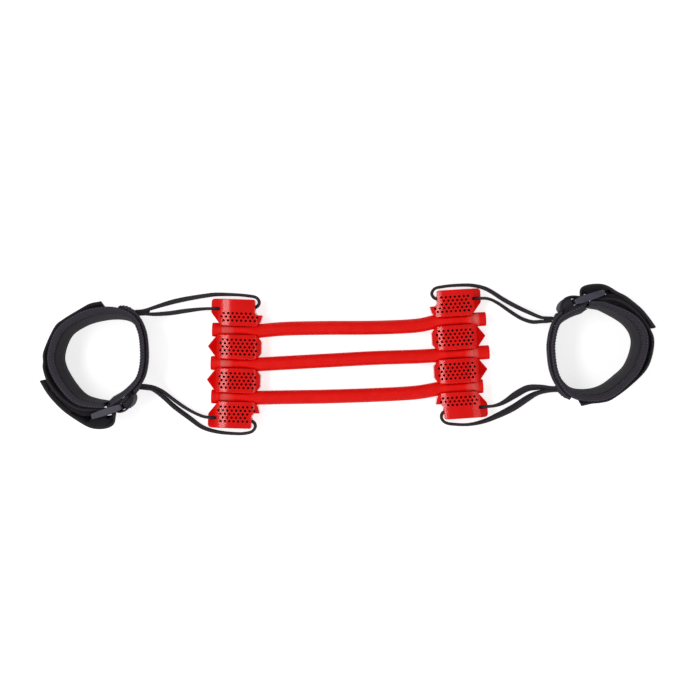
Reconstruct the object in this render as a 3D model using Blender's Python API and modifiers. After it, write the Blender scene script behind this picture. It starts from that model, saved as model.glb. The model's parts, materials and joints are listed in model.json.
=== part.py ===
"""Lateral resistance trainer: latex tubes between two perforated holders, with ankle cuffs.

It lies flat. X runs along the tubes, Y along the holders, and the holders' covers rest on Z = 0.
"""

from math import cos, pi, radians, sin, sqrt

import bmesh
import bpy
from mathutils import Matrix, Vector

mm = 0.001
SEAT_GAP = 0.3 * mm  # what two touching pieces keep between them
CUT_PAST = 4.0 * mm  # how far a cutter runs past what it cuts

# Holders: u runs across a holder towards the middle of the trainer, v along it
GROOVE_PITCH = 34.8 * mm
GROOVE_WIDTH = 8.8 * mm
HOLDER_HALF_LENGTH = 67.0 * mm
POD_POINT_U = -28.2 * mm
POD_SHOULDER_U = -17.5 * mm
POD_BREAK_U = 23.1 * mm
POD_NOSE_U = 28.2 * mm
POD_NOSE_HALF = 6.0 * mm
CROWN_TOP = 26.0 * mm
CROWN_RADIUS = 60.0 * mm
CROWN_AT_U = 3.0 * mm
POINT_HEIGHT = 14.0 * mm
NOSE_HEIGHT = 19.0 * mm
SHELL_WALL = 2.0 * mm
COVER_THICKNESS = 2.5 * mm
SADDLE_U = (-15.0 * mm, 20.0 * mm)

# End pods
END_WEDGE_U = -16.0 * mm
END_WEDGE_RISE = 2.1 * mm
END_EDGE_U = -25.3 * mm
END_EDGE_V = HOLDER_HALF_LENGTH - 14.5 * mm
END_POD_START = GROOVE_PITCH + GROOVE_WIDTH / 2
HORN_MID = (26.6 * mm, END_POD_START + 4.8 * mm)
HORN_TIP = (28.4 * mm, END_POD_START + 11.8 * mm)
NOTCH_U = 20.5 * mm
NOTCH_FILLET = 3.5 * mm
END_CORNER = 3.5 * mm
SLOT_V = HOLDER_HALF_LENGTH - 10.5 * mm
SLOT_WIDTH = 3.6 * mm
SLOT_END_U = -15.5 * mm
CHANNEL_END_U = -11.5 * mm
CHANNEL_Z = (8.8 * mm, 19.2 * mm)
WINDOW_V = (HOLDER_HALF_LENGTH - 11.4 * mm, HOLDER_HALF_LENGTH - 5.4 * mm)

# Perforation
HOLE_DIAMETER = 2.2 * mm
HOLE_PITCH = 4.6 * mm
HOLE_ROW_PITCH = 3.7 * mm
HOLE_CENTRE_U = 4.5 * mm
HOLE_SIDE_MARGIN = 4.4 * mm
HOLE_SIDES = 5
CAVITY_MARGIN = 2.1 * mm
CAVITY_INNER_MARGIN = 1.5 * mm
HORN_WALL = 1.2 * mm
END_MARGIN = 3.5 * mm
END_CAVITY_U = -14.4 * mm
# For each row of an end pod, from the tube outwards: holes left out at the outer and the inner end
PLAIN_ROWS = ((0, 0), (0, 0), (0, 1), (1, 2), (0, 1))
BARE_ROWS = ((0, 0), (0, 0), (0, 1))
BARE_END = 1

# Screws that hold the back covers
SCREW_U = -19.5 * mm
SCREW_V = HOLDER_HALF_LENGTH - 4.4 * mm
SCREW_SHANK = 2.5 * mm
SCREW_HEAD = 5.0 * mm
SCREW_HEAD_THICKNESS = 1.3 * mm
SCREW_LENGTH = 10.0 * mm
SCREW_RECESS = 0.3 * mm
SCREW_SIDES = 8

# Tubes
TUBE_DIAMETER = 14.0 * mm
TUBE_BORE = 8.0 * mm
TUBE_AXIS_Z = 14.5 * mm
TUBE_SIDES = 8
PINCH_HALF_WIDTH = 4.1 * mm
PINCH_HALF_HEIGHT = 8.7 * mm
NECK_U = -13.0 * mm
NECK_LENGTH = 2.4 * mm
FLARE_U = (13.5 * mm, 25.0 * mm)
FLARE_LEAD = 4.8 * mm
POCKET_SIDES = 10
PINCH_STATIONS_U = (-4.0 * mm, 5.0 * mm)
SPAN_STATIONS = 6
# How far each tube's two ends reach outwards from the middle of their holder
TUBE_ENDS = ((23.6 * mm, 29.2 * mm), (24.0 * mm, 30.6 * mm), (22.4 * mm, 21.9 * mm))
PLUG_LENGTH = 6.0 * mm
PLUG_RECESS = 0.6 * mm

# Where the holders and the cuffs lie
HOLDER_PLACES = {"left": (-118.9 * mm, -9.2 * mm, -1.8), "right": (116.3 * mm, 0.9 * mm, 183.6)}
CUFF_PLACES = {"left": (-257.4 * mm, -5.5 * mm, 0.0), "right": (257.4 * mm, 6.6 * mm, 180.0)}

# Flat cords
CORD_WIDTH = 9.0 * mm
CORD_THICKNESS = 2.6 * mm

# Cuffs
CUFF_HEIGHT = 50.0 * mm
BINDING_HEIGHT = 3.0 * mm
LINING_THICKNESS = 1.0 * mm
PAD_ROUNDING = 0.8 * mm
STRAP_WIDTH = 38.0 * mm
STRAP_THICKNESS = 2.4 * mm
STRAP_STANDOFF = 0.9 * mm
ANCHOR_THICKNESS = 2.6 * mm
PATCH_THICKNESS = 1.2 * mm
PATCH_WIDTH = 32.0 * mm
RING_LENGTH = 32.5 * mm
RING_BAR = 4.5 * mm
RING_BELLY = 7.0 * mm
RING_END = 5.2 * mm
RING_RAIL = 4.0 * mm
RING_Z = (0.5 * mm, 49.5 * mm)
RING_POST = Vector((23.5 * mm, -48.0 * mm))
RING_TURN = 19.0
KEEPER_THICKNESS = 1.8 * mm

# Inner outline of a cuff on the floor, from its end at the ring round to the other end:
# place, thickness of the pad there, and how far the top edge leans out
LEFT_OUTLINE = (
    (10.9, -38.2, 4.5, 4.0),
    (23.0, -30.6, 4.5, 4.5),
    (35.2, -17.4, 4.5, 5.0),
    (39.6, -3.0, 4.5, 5.0),
    (39.7, 14.6, 4.5, 5.0),
    (37.4, 28.6, 4.5, 5.0),
    (30.5, 39.2, 5.0, 5.5),
    (15.8, 42.3, 6.0, 6.5),
    (-2.7, 40.1, 7.0, 6.5),
    (-18.2, 34.7, 7.0, 5.5),
    (-32.0, 24.7, 7.0, 4.5),
    (-39.0, 7.0, 7.0, 4.0),
    (-37.6, -6.6, 7.0, 4.2),
    (-28.4, -22.8, 6.5, 4.8),
    (-17.4, -35.2, 6.0, 4.4),
    (-5.8, -40.0, 5.0, 3.0),
    (8.6, -42.6, 3.6, 1.2),
)
RIGHT_OUTLINE = (
    (12.8, -36.6, 4.5, 3.5),
    (26.0, -31.4, 4.5, 4.0),
    (36.0, -23.4, 4.5, 5.0),
    (40.7, -6.5, 4.5, 5.0),
    (40.5, 8.0, 4.5, 5.0),
    (38.3, 21.2, 4.5, 5.0),
    (33.8, 31.2, 4.5, 5.0),
    (24.0, 40.6, 5.5, 5.5),
    (8.8, 42.3, 6.0, 6.5),
    (-6.0, 38.6, 7.0, 6.5),
    (-19.6, 28.9, 7.0, 5.5),
    (-32.4, 15.6, 7.0, 4.4),
    (-38.9, -7.4, 7.0, 4.0),
    (-30.4, -24.6, 6.5, 4.5),
    (-7.6, -38.6, 5.0, 3.0),
    (3.0, -41.4, 4.4, 2.0),
    (11.2, -42.4, 3.5, 1.0),
)
CUFF_OUTLINES = {"left": LEFT_OUTLINE, "right": RIGHT_OUTLINE}
# Stations of the outline, two for each of its points, that carry the strap and the anchor webbing
STRAP_STATIONS = {"left": (15, 17, 19, 20, 22, 23), "right": (18, 20, 22, 23)}
ANCHOR_STATIONS = {"left": (3, 13), "right": (3, 14)}

# Stations of the strap past the pad, given where its lower and its upper edge run
STRAP_LOOP = (
    ((-49.2, -8.5), (-53.0, -8.8)),
    ((-45.6, -20.0), (-49.6, -21.6)),
    ((-39.6, -29.6), (-42.8, -31.9)),
    ((-32.6, -37.4), (-35.2, -40.2)),
    ((-24.4, -43.8), (-25.9, -46.9)),
    ((-15.8, -48.2), (-16.4, -50.4)),
    ((-9.0, -50.0), (-9.0, -51.0)),
    ((-2.5, -50.4), (-2.5, -50.6)),
    ((4.2, -51.0), (4.2, -51.0)),
    ((9.4, -52.6), (9.8, -52.6)),
    ((12.8, -54.6), (14.4, -54.8)),
    ((14.0, -57.2), (17.2, -58.6)),
    ((12.6, -59.6), (17.2, -63.4)),
    ((9.2, -60.8), (13.6, -67.0)),
    ((3.0, -61.3), (5.6, -68.7)),
    ((-3.4, -62.0), (-2.6, -69.0)),
    ((-8.2, -59.8), (-8.6, -68.6)),
)
STRAP_TAIL = (
    ((-9.5, -59.2), (-9.9, -68.4)),
    ((-16.3, -55.6), (-17.4, -63.0)),
    ((-23.8, -52.8), (-25.6, -56.6)),
    ((-31.8, -46.4), (-33.8, -49.8)),
    ((-39.6, -39.2), (-42.2, -42.0)),
    ((-46.2, -31.4), (-49.4, -33.6)),
    ((-53.0, -21.6), (-56.6, -23.0)),
)
TAIL_FOLD = (-9.5 * mm, -69.7 * mm)
LOOP_PATCH_STATIONS = (1, 4)
HOOK_PATCH_STATIONS = (2, 5)
KEEPER_ROUND_POST = (
    (20.0, -44.4),
    (17.8, -48.0),
    (19.0, -52.0),
)
KEEPER_PATHS = {
    "left": (
        (34.2, -33.1),
        (29.4, -39.2),
        (25.2, -43.0),
        *KEEPER_ROUND_POST,
        (23.4, -53.0),
        (28.6, -50.8),
        (32.6, -46.6),
        (36.0, -40.4),
        (35.7, -34.6),
    ),
    "right": (
        (35.4, -35.9),
        (31.4, -40.6),
        (25.4, -43.2),
        *KEEPER_ROUND_POST,
        (23.6, -53.0),
        (30.0, -52.4),
        (35.6, -49.6),
        (38.8, -44.0),
        (36.7, -37.6),
    ),
}

# Routes of the four flat cords, from cuff to cuff round an end pod: u, how far out past the holder's
# end, height, and the tilt of the webbing from standing on edge (0) to lying flat (90 or -90)
CORD_ROUTES = {
    "left_upper": (
        (-101.6, -18.9, 22.0, 0),
        (-94.0, -18.4, 21.0, 0),
        (-83.7, -18.2, 16.0, 12),
        (-68.9, -16.4, 7.0, 20),
        (-56.0, -14.0, 5.4, 20),
        (-43.0, -12.0, 7.4, 12),
        (-30.5, -10.7, 13.4, 2),
        (-22.0, -10.5, 14.0, 0),
        (-8.0, -10.4, 14.0, 0),
        (8.0, -9.8, 14.0, 0),
        (17.5, -8.8, 14.0, 0),
        (22.6, -6.4, 14.0, 0),
        (24.2, -2.0, 14.0, 0),
        (21.0, 2.4, 14.0, 0),
        (14.0, 3.9, 13.6, 0),
        (-0.3, 4.8, 13.0, 0),
        (-20.3, 4.6, 11.0, 8),
        (-33.0, 2.9, 8.0, 12),
        (-46.4, 0.4, 5.8, 16),
        (-58.0, -2.2, 5.8, 20),
        (-69.2, -5.4, 9.0, 18),
        (-82.0, -10.2, 16.5, 8),
        (-94.0, -14.6, 21.0, 0),
        (-104.8, -16.2, 22.0, 0),
    ),
    "left_lower": (
        (-95.1, -41.6, 22.0, 0),
        (-89.6, -41.4, 21.0, 0),
        (-82.6, -40.0, 17.0, -8),
        (-73.7, -35.6, 10.0, -12),
        (-63.0, -27.6, 5.8, -12),
        (-50.5, -19.4, 5.6, -10),
        (-38.5, -13.6, 9.6, -5),
        (-29.0, -10.7, 13.8, -1),
        (-22.0, -10.5, 14.0, 0),
        (-8.0, -10.4, 14.0, 0),
        (8.0, -9.8, 14.0, 0),
        (17.5, -8.8, 14.0, 0),
        (22.6, -6.4, 14.0, 0),
        (24.2, -2.0, 14.0, 0),
        (21.2, 2.8, 14.0, 0),
        (14.0, 5.2, 13.6, 0),
        (4.0, 5.9, 13.0, 0),
        (-14.4, 4.8, 11.8, -5),
        (-31.0, 0.6, 8.2, -12),
        (-45.6, -8.8, 5.8, -18),
        (-61.3, -19.8, 6.4, -18),
        (-73.4, -30.6, 12.6, -12),
        (-83.0, -37.2, 18.6, -4),
        (-89.4, -38.3, 21.4, 0),
        (-96.5, -38.7, 22.0, 0),
    ),
    "right_upper": (
        (-96.5, -38.7, 22.0, 0),
        (-91.6, -39.1, 20.6, 0),
        (-86.0, -38.8, 17.0, -8),
        (-77.0, -38.2, 9.8, -12),
        (-66.4, -33.6, 5.8, -12),
        (-54.8, -25.2, 5.6, -12),
        (-43.4, -16.6, 9.0, -8),
        (-33.6, -11.6, 13.4, -3),
        (-24.0, -10.5, 14.0, 0),
        (-8.0, -10.4, 14.0, 0),
        (8.0, -10.0, 14.0, 0),
        (17.5, -9.2, 14.0, 0),
        (23.0, -7.0, 14.0, 0),
        (25.2, -2.2, 14.0, 0),
        (21.6, 2.6, 14.0, 0),
        (14.0, 4.0, 13.6, 0),
        (2.6, 4.6, 13.4, 0),
        (-14.0, 4.0, 12.6, -3),
        (-26.0, 1.4, 11.0, -6),
        (-35.6, -3.0, 8.0, -10),
        (-49.3, -12.8, 5.8, -12),
        (-61.6, -20.7, 6.4, -12),
        (-73.5, -27.8, 13.0, -8),
        (-85.4, -34.0, 18.6, -3),
        (-91.6, -35.2, 21.2, 0),
        (-97.9, -35.8, 22.0, 0),
    ),
    "right_lower": (
        (-98.1, -25.9, 22.0, 0),
        (-91.5, -26.2, 19.6, 8),
        (-81.3, -27.2, 11.6, 30),
        (-68.8, -26.6, 5.6, 45),
        (-55.8, -20.6, 4.8, 48),
        (-43.6, -14.0, 7.4, 25),
        (-33.4, -11.0, 12.8, 6),
        (-24.0, -10.5, 14.0, 0),
        (-8.0, -10.4, 14.0, 0),
        (8.0, -10.0, 14.0, 0),
        (17.5, -9.0, 14.0, 0),
        (22.4, -6.0, 14.0, 0),
        (23.0, -1.0, 14.0, 0),
        (19.4, 3.4, 14.0, 0),
        (11.6, 5.6, 13.6, 0),
        (-4.3, 7.0, 13.0, 0),
        (-20.5, 4.8, 11.0, 14),
        (-37.0, -0.6, 6.6, 32),
        (-53.4, -7.6, 5.2, 42),
        (-68.2, -16.2, 6.6, 38),
        (-79.0, -21.4, 13.4, 18),
        (-90.0, -22.9, 19.6, 4),
        (-99.6, -22.8, 22.0, 0),
    ),
}
CORD_END_SIGNS = {"left_upper": 1, "left_lower": -1, "right_upper": -1, "right_lower": 1}
CORD_STEPS = 2


def remove_old_objects():
    for old in list(bpy.data.objects):
        bpy.data.objects.remove(old, do_unlink=True)


def new_collection(name):
    collection = bpy.data.collections.new(name)
    bpy.context.scene.collection.children.link(collection)
    return collection


def material(name, colour, roughness, metallic=0.0):
    made = bpy.data.materials.new(name)
    made.use_nodes = True
    shader = made.node_tree.nodes["Principled BSDF"]
    shader.inputs["Base Color"].default_value = (*colour, 1.0)
    shader.inputs["Roughness"].default_value = roughness
    shader.inputs["Metallic"].default_value = metallic
    return made


def put(name, mesh, collection=None, finish=None, smooth=None):
    """An object of this mesh, in its collection, with its material."""
    made = bpy.data.objects.new(name, mesh)
    (collection or PARTS).objects.link(made)
    if finish and not mesh.materials:
        mesh.materials.append(finish)
    if smooth:
        mesh.shade_smooth()
        mesh.set_sharp_from_angle(angle=radians(smooth))
    return made


def mesh_from(name, shape):
    bmesh.ops.recalc_face_normals(shape, faces=shape.faces)
    mesh = bpy.data.meshes.new(name)
    shape.to_mesh(mesh)
    shape.free()
    return mesh


def prism(name, outline, low, high, along="Z"):
    """A straight solid over a flat outline, extruded along Z or, for an outline in u and z, along Y."""
    shape = bmesh.new()
    if along == "Z":
        base = [shape.verts.new((a, b, low)) for a, b in outline]
        step = Vector((0, 0, high - low))
    else:
        base = [shape.verts.new((a, low, b)) for a, b in outline]
        step = Vector((0, high - low, 0))
    grown = bmesh.ops.extrude_face_region(shape, geom=[shape.faces.new(base)])["geom"]
    bmesh.ops.translate(shape, vec=step, verts=[g for g in grown if isinstance(g, bmesh.types.BMVert)])
    return mesh_from(name, shape)


def box(name, low, high):
    """A plain cutter between two corners."""
    shape = bmesh.new()
    bmesh.ops.create_cube(shape, size=1.0)
    middle = (Vector(low) + Vector(high)) / 2
    size = Vector(high) - Vector(low)
    bmesh.ops.scale(shape, vec=size, verts=shape.verts)
    bmesh.ops.translate(shape, vec=middle, verts=shape.verts)
    return mesh_from(name, shape)


def turned(name, profile, sides):
    """A solid of revolution about Z from radius and height pairs, top to bottom down its outer side."""
    mesh = bpy.data.meshes.new(name)
    mesh.from_pydata([(r, 0, z) for r, z in profile], [(k, k + 1) for k in range(len(profile) - 1)], [])
    blank = put(name + "_profile", mesh, GUIDES)
    screw = blank.modifiers.new("turn", "SCREW")
    screw.steps = screw.render_steps = sides
    screw.use_merge_vertices = True
    screw.merge_threshold = 0.00001
    return settle(blank, name)


def settle(made, name):
    """The evaluated mesh of an object, which is then removed."""
    bpy.context.view_layer.update()
    mesh = bpy.data.meshes.new_from_object(made.evaluated_get(bpy.context.evaluated_depsgraph_get()))
    mesh.name = name
    bpy.data.objects.remove(made, do_unlink=True)
    shape = bmesh.new()
    shape.from_mesh(mesh)
    bmesh.ops.remove_doubles(shape, verts=shape.verts, dist=0.00001)
    shape.to_mesh(mesh)
    shape.free()
    return mesh


def combine(name, first, others, operation):
    """One mesh from a first mesh and others that are joined to it, cut from it or kept in common."""
    made = put(name, first, GUIDES)
    tools = []
    for number, other in enumerate(others):
        tool = put(f"{name}_tool_{number}", other, GUIDES)
        tool.hide_render = True
        tool.display_type = "WIRE"
        tools.append(tool)
        change = made.modifiers.new(operation.lower(), "BOOLEAN")
        change.operation = operation
        change.object = tool
    mesh = settle(made, name)
    for tool in tools:
        bpy.data.objects.remove(tool, do_unlink=True)
    return mesh


def moved(mesh, matrix):
    copy = mesh.copy()
    copy.transform(matrix)
    return copy


def merged(name, meshes):
    """Separate shells kept in one mesh, for a cutter of many pieces."""
    shape = bmesh.new()
    for mesh in meshes:
        shape.from_mesh(mesh)
    joined = bpy.data.meshes.new(name)
    shape.to_mesh(joined)
    shape.free()
    return joined


def loft(name, rings, ring_closed=False):
    """A skin over rings of equal count, capped at both ends or, if closed, joined last to first."""
    shape = bmesh.new()
    rows = [[shape.verts.new(p) for p in ring] for ring in rings]
    ahead = rows[1:] + rows[:1] if ring_closed else rows[1:]
    for row, following in zip(rows, ahead):
        for k, corner in enumerate(row):
            n = (k + 1) % len(row)
            shape.faces.new((corner, row[n], following[n], following[k]))
    if not ring_closed:
        shape.faces.new(rows[0])
        shape.faces.new(rows[-1])
    return mesh_from(name, shape)


def softened(corners, steps=2):
    """An outline whose corners, given as x, y and radius, are rounded by arcs."""
    points = []
    for k, (x, y, radius) in enumerate(corners):
        here = Vector((x, y))
        if not radius:
            points.append((x, y))
            continue
        before = (Vector(corners[k - 1][:2]) - here).normalized()
        after = (Vector(corners[(k + 1) % len(corners)][:2]) - here).normalized()
        half = before.angle(after) / 2
        centre = here + (before + after).normalized() * radius / sin(half)
        start = here + before * radius / (sin(half) / cos(half)) - centre
        turn = start.angle_signed(here + after * radius / (sin(half) / cos(half)) - centre)
        for step in range(steps + 1):
            arm = start.copy()
            arm.rotate(Matrix.Rotation(-turn * step / steps, 2))
            points.append(tuple(centre + arm))
    return points


def spline(points, steps):
    """Points of any size on a smooth curve through the given ones."""
    points = [Vector(p) for p in points]
    ends = [points[0] * 2 - points[1], *points, points[-1] * 2 - points[-2]]
    smooth = []
    for a, b, c, d in zip(ends, ends[1:], ends[2:], ends[3:]):
        for step in range(steps):
            t = step / steps
            pull = (c - a) * t + (a * 2 - b * 5 + c * 4 - d) * t**2 + (b * 3 - a - c * 3 + d) * t**3
            smooth.append(b + pull / 2)
    return [*smooth, points[-1]]


def holder_matrix(side):
    x, y, turn = HOLDER_PLACES[side]
    return Matrix.Translation((x, y, 0)) @ Matrix.Rotation(radians(turn), 4, "Z")


def cuff_matrix(side):
    x, y, turn = CUFF_PLACES[side]
    return Matrix.Translation((x, y, 0)) @ Matrix.Rotation(radians(turn), 4, "Z")


def crown(u):
    return CROWN_TOP - CROWN_RADIUS + sqrt(CROWN_RADIUS**2 - (u - CROWN_AT_U) ** 2)


def crown_line(start, end, drop):
    """The crown between two places across a holder, lowered by drop, with its breaks between holes."""
    breaks = [HOLE_CENTRE_U + HOLE_PITCH * (k + 0.25) for k in (-3, -1, 1, 3)]
    return [(u, crown(u) - drop) for u in (start, *breaks, end)]


def outer_profile(low):
    """A holder's section across its length: slopes at both edges and a crown between them."""
    top = crown_line(POD_SHOULDER_U, POD_BREAK_U, 0)
    outer = [(POD_POINT_U - mm, low), (POD_POINT_U - mm, POINT_HEIGHT - mm)]
    inner = [(POD_NOSE_U + mm, NOSE_HEIGHT - mm), (POD_NOSE_U + mm, low)]
    return [*outer, *top, *inner]


def pod_half():
    return (GROOVE_PITCH - GROOVE_WIDTH) / 2


def middle_pod_outline(centre_v):
    half = pod_half()
    corners = (
        (POD_POINT_U, 0, 0.6 * mm),
        (POD_SHOULDER_U, -half, 0.8 * mm),
        (POD_BREAK_U, -half, 1.5 * mm),
        (POD_NOSE_U, -POD_NOSE_HALF, 1.5 * mm),
        (POD_NOSE_U, POD_NOSE_HALF, 1.5 * mm),
        (POD_BREAK_U, half, 1.5 * mm),
        (POD_SHOULDER_U, half, 0.8 * mm),
    )
    return [(u, v + centre_v) for u, v in softened(corners, 1)]


def end_pod_outline(sign):
    start = END_POD_START
    corners = (
        (END_WEDGE_U, start, 0),
        (POD_BREAK_U, start, 0),
        (*HORN_MID, 0),
        (*HORN_TIP, 0.6 * mm),
        (NOTCH_U, HORN_TIP[1], NOTCH_FILLET),
        (NOTCH_U, HOLDER_HALF_LENGTH, 2.0 * mm),
        (END_EDGE_U, HOLDER_HALF_LENGTH, END_CORNER),
        (END_EDGE_U, END_EDGE_V, 1.0 * mm),
        (END_WEDGE_U, start + END_WEDGE_RISE, 0),
    )
    return [(u, v * sign) for u, v in softened(corners)]


def pod_centres():
    return (-GROOVE_PITCH / 2, GROOVE_PITCH / 2)


def hole_rows():
    """How many rows of holes a pod's width takes beside its two margins."""
    room = 2 * (pod_half() - HOLE_SIDE_MARGIN) - HOLE_DIAMETER
    return int(room / HOLE_ROW_PITCH) + 1


def holder_block(name, low, high, saddle_high):
    """All four pods of a holder as plain blocks, joined by the saddles under the tubes."""
    pods = [prism("pod", middle_pod_outline(v), low, high) for v in pod_centres()]
    pods += [prism("end_pod", end_pod_outline(sign), low, high) for sign in (-1, 1)]
    reach = END_POD_START + END_MARGIN
    bar = box("saddles", (SADDLE_U[0], -reach, low), (SADDLE_U[1], reach, saddle_high))
    return combine(name, bar, pods, "UNION")


def hole_places():
    """Centres of a holder's perforation: full pods in the middle, shortened rows on the end pods."""
    places = []

    def row(v, number, outer_missing=0, inner_missing=0):
        count = 8 + number % 2
        for k in range(outer_missing, count - inner_missing):
            places.append((HOLE_CENTRE_U + HOLE_PITCH * (k - (count - 1) / 2), v))

    first = -HOLE_ROW_PITCH * (hole_rows() - 1) / 2
    for centre in pod_centres():
        for number in range(hole_rows()):
            row(centre + first + HOLE_ROW_PITCH * number, number)
    edge = END_POD_START + pod_half() + first
    for sign in (-1, 1):
        rows = BARE_ROWS if sign == BARE_END else PLAIN_ROWS
        room = HOLDER_HALF_LENGTH - END_MARGIN - HOLE_DIAMETER / 2 - edge
        for number, missing in enumerate(rows[: int(room / HOLE_ROW_PITCH) + 1]):
            row(sign * (edge + HOLE_ROW_PITCH * number), number, *missing)
    return places


def hole_cutter():
    shape = bmesh.new()
    for u, v in hole_places():
        length = CROWN_TOP - NOSE_HEIGHT + CUT_PAST
        place = Matrix.Translation((u, v, CROWN_TOP + mm - length / 2))
        bmesh.ops.create_cone(
            shape,
            cap_ends=True,
            segments=HOLE_SIDES,
            radius1=HOLE_DIAMETER / 2,
            radius2=HOLE_DIAMETER / 2,
            depth=length,
            matrix=place,
        )
    return mesh_from("holes", shape)


def cavity_cutter(low):
    """The four pods' hollows, open towards the back cover. An end pod's is wide by its tube only."""
    rows_half = HOLE_ROW_PITCH * (hole_rows() - 1) / 2 + HOLE_DIAMETER / 2
    outer = HOLE_CENTRE_U - HOLE_PITCH * 4 - CAVITY_MARGIN
    inner = HOLE_CENTRE_U + HOLE_PITCH * 4 + CAVITY_INNER_MARGIN
    start = END_POD_START + pod_half() - rows_half
    split = HORN_TIP[1] - HORN_WALL
    end = HOLDER_HALF_LENGTH - END_MARGIN
    notch = NOTCH_U - SHELL_WALL
    plans = [
        [(outer, v - rows_half), (inner, v - rows_half), (inner, v + rows_half), (outer, v + rows_half)]
        for v in pod_centres()
    ]
    for sign in (-1, 1):
        near = [(END_CAVITY_U, start), (inner, start), (inner, split), (notch, split)]
        plans.append([(u, sign * v) for u, v in (*near, (notch, end), (END_CAVITY_U, end))])
    blocks = merged("cavities", [prism("cavity", plan, low, CROWN_TOP) for plan in plans])
    under = crown_line(outer - mm, inner + mm, SHELL_WALL)
    section = [(outer - mm, low - mm), *under, (inner + mm, low - mm)]
    room = prism("under_crown", section, -HOLDER_HALF_LENGTH, HOLDER_HALF_LENGTH, along="Y")
    return combine("cavities", blocks, [room], "INTERSECT")


def pocket_cutter(groove_v):
    """Room for one tube: a round pocket for its swollen end, and a flare where it leaves inwards."""
    room = TUBE_DIAMETER / 2 / cos(pi / POCKET_SIDES) + SEAT_GAP
    narrow = GROOVE_WIDTH / 2
    lie = Matrix.Translation((0, groove_v, TUBE_AXIS_Z)) @ Matrix.Rotation(pi / 2, 4, "Y")
    reach = POD_NOSE_U + CUT_PAST
    outer = ((0, NECK_U), (room, NECK_U), (room, -reach), (0, -reach))
    flare = FLARE_U[0] - FLARE_LEAD
    inner = ((0, reach), (room, reach), (room, FLARE_U[0] + FLARE_LEAD), (narrow, flare), (0, flare))
    return [moved(turned("pocket", profile, POCKET_SIDES), lie) for profile in (outer, inner)]


def cord_way_cutters():
    """The open slot, the channel below it and the window in the notch, in each end pod."""
    made = []
    for sign in (-1, 1):
        slot = sorted((sign * (SLOT_V - SLOT_WIDTH / 2), sign * (SLOT_V + SLOT_WIDTH / 2)))
        window = sorted((sign * WINDOW_V[0], sign * WINDOW_V[1]))
        out = END_EDGE_U - CUT_PAST
        made.append(box("slot", (out, slot[0], CHANNEL_Z[0]), (SLOT_END_U, slot[1], CROWN_TOP + mm)))
        made.append(box("channel", (out, slot[0], CHANNEL_Z[0]), (CHANNEL_END_U, slot[1], CHANNEL_Z[1])))
        low = (NOTCH_U - CUT_PAST, window[0], CHANNEL_Z[0])
        made.append(box("window", low, (HORN_TIP[0] + mm, window[1], CHANNEL_Z[1])))
    return made


def screw_hole(sign, radius, low, high):
    shaft = turned("screw_hole", ((0, high), (radius, high), (radius, low), (0, low)), SCREW_SIDES)
    return moved(shaft, Matrix.Translation((SCREW_U, sign * SCREW_V, 0)))


def front_shell_mesh():
    """A holder's moulded shell: four hollow perforated pods joined by saddles."""
    low = COVER_THICKNESS + SEAT_GAP
    saddle = TUBE_AXIS_Z - PINCH_HALF_HEIGHT - SEAT_GAP
    block = holder_block("front_shell", low, CROWN_TOP + 2 * mm, saddle)
    reach = HOLDER_HALF_LENGTH + mm
    section = prism("section", outer_profile(low - mm), -reach, reach, along="Y")
    block = combine("front_shell", block, [section], "INTERSECT")
    cuts = [cavity_cutter(low - mm)]
    for groove in (-1, 0, 1):
        cuts += pocket_cutter(groove * GROOVE_PITCH)
    cuts += cord_way_cutters()
    pilot = SCREW_SHANK / 2 + SEAT_GAP
    cuts += [screw_hole(sign, pilot, low - mm, SCREW_LENGTH + mm) for sign in (-1, 1)]
    cuts.append(hole_cutter())
    return combine("front_shell", block, cuts, "DIFFERENCE")


def back_cover_mesh():
    """The flat cover that closes a holder and that it rests on."""
    block = holder_block("back_cover", 0, COVER_THICKNESS, COVER_THICKNESS)
    widen = 1 / cos(pi / SCREW_SIDES)
    head = SCREW_HEAD / 2 * widen + SEAT_GAP
    shank = SCREW_SHANK / 2 * widen + SEAT_GAP
    depth = SCREW_RECESS + SCREW_HEAD_THICKNESS + SEAT_GAP
    cuts = [screw_hole(sign, shank, -mm, COVER_THICKNESS + mm) for sign in (-1, 1)]
    cuts += [screw_hole(sign, head, -mm, depth) for sign in (-1, 1)]
    return combine("back_cover", block, cuts, "DIFFERENCE")


def screw_mesh():
    """A pan-head screw, driven upwards through the cover."""
    head, shank = SCREW_HEAD / 2, SCREW_SHANK / 2
    low = SCREW_RECESS
    neck = low + SCREW_HEAD_THICKNESS
    top = low + SCREW_LENGTH
    tip = ((0, top), (shank * 0.4, top), (shank, top - mm))
    profile = (*tip, (shank, neck), (head, neck), (head, low), (0, low))
    return turned("cover_screw", profile, SCREW_SIDES)


def build_holder(side):
    place = holder_matrix(side)
    shell = put(f"{side}_front_shell", SHELL, finish=RED_ABS, smooth=30)
    cover = put(f"{side}_back_cover", COVER, finish=RED_ABS, smooth=30)
    shell.matrix_world = cover.matrix_world = place
    for sign, name in ((-1, "lower"), (1, "upper")):
        end = name if side == "left" else {"lower": "upper", "upper": "lower"}[name]
        screw = put(f"{side}_{end}_screw", SCREW, finish=STEEL, smooth=40)
        screw.matrix_world = place @ Matrix.Translation((SCREW_U, sign * SCREW_V, 0))


def tube_section(u):
    """Half width and half height of a tube at a place across its holder."""
    round_half = TUBE_DIAMETER / 2
    if u <= NECK_U - NECK_LENGTH:
        return round_half, round_half
    if u <= FLARE_U[0]:
        share = min(1, (u - NECK_U + NECK_LENGTH) / (NECK_LENGTH - SEAT_GAP))
    else:
        share = max(0, 1 - (u - FLARE_U[0]) / (FLARE_U[1] - FLARE_U[0]))
    half_width = round_half + (PINCH_HALF_WIDTH - round_half) * share
    return half_width, round_half + (PINCH_HALF_HEIGHT - round_half) * share


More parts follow.
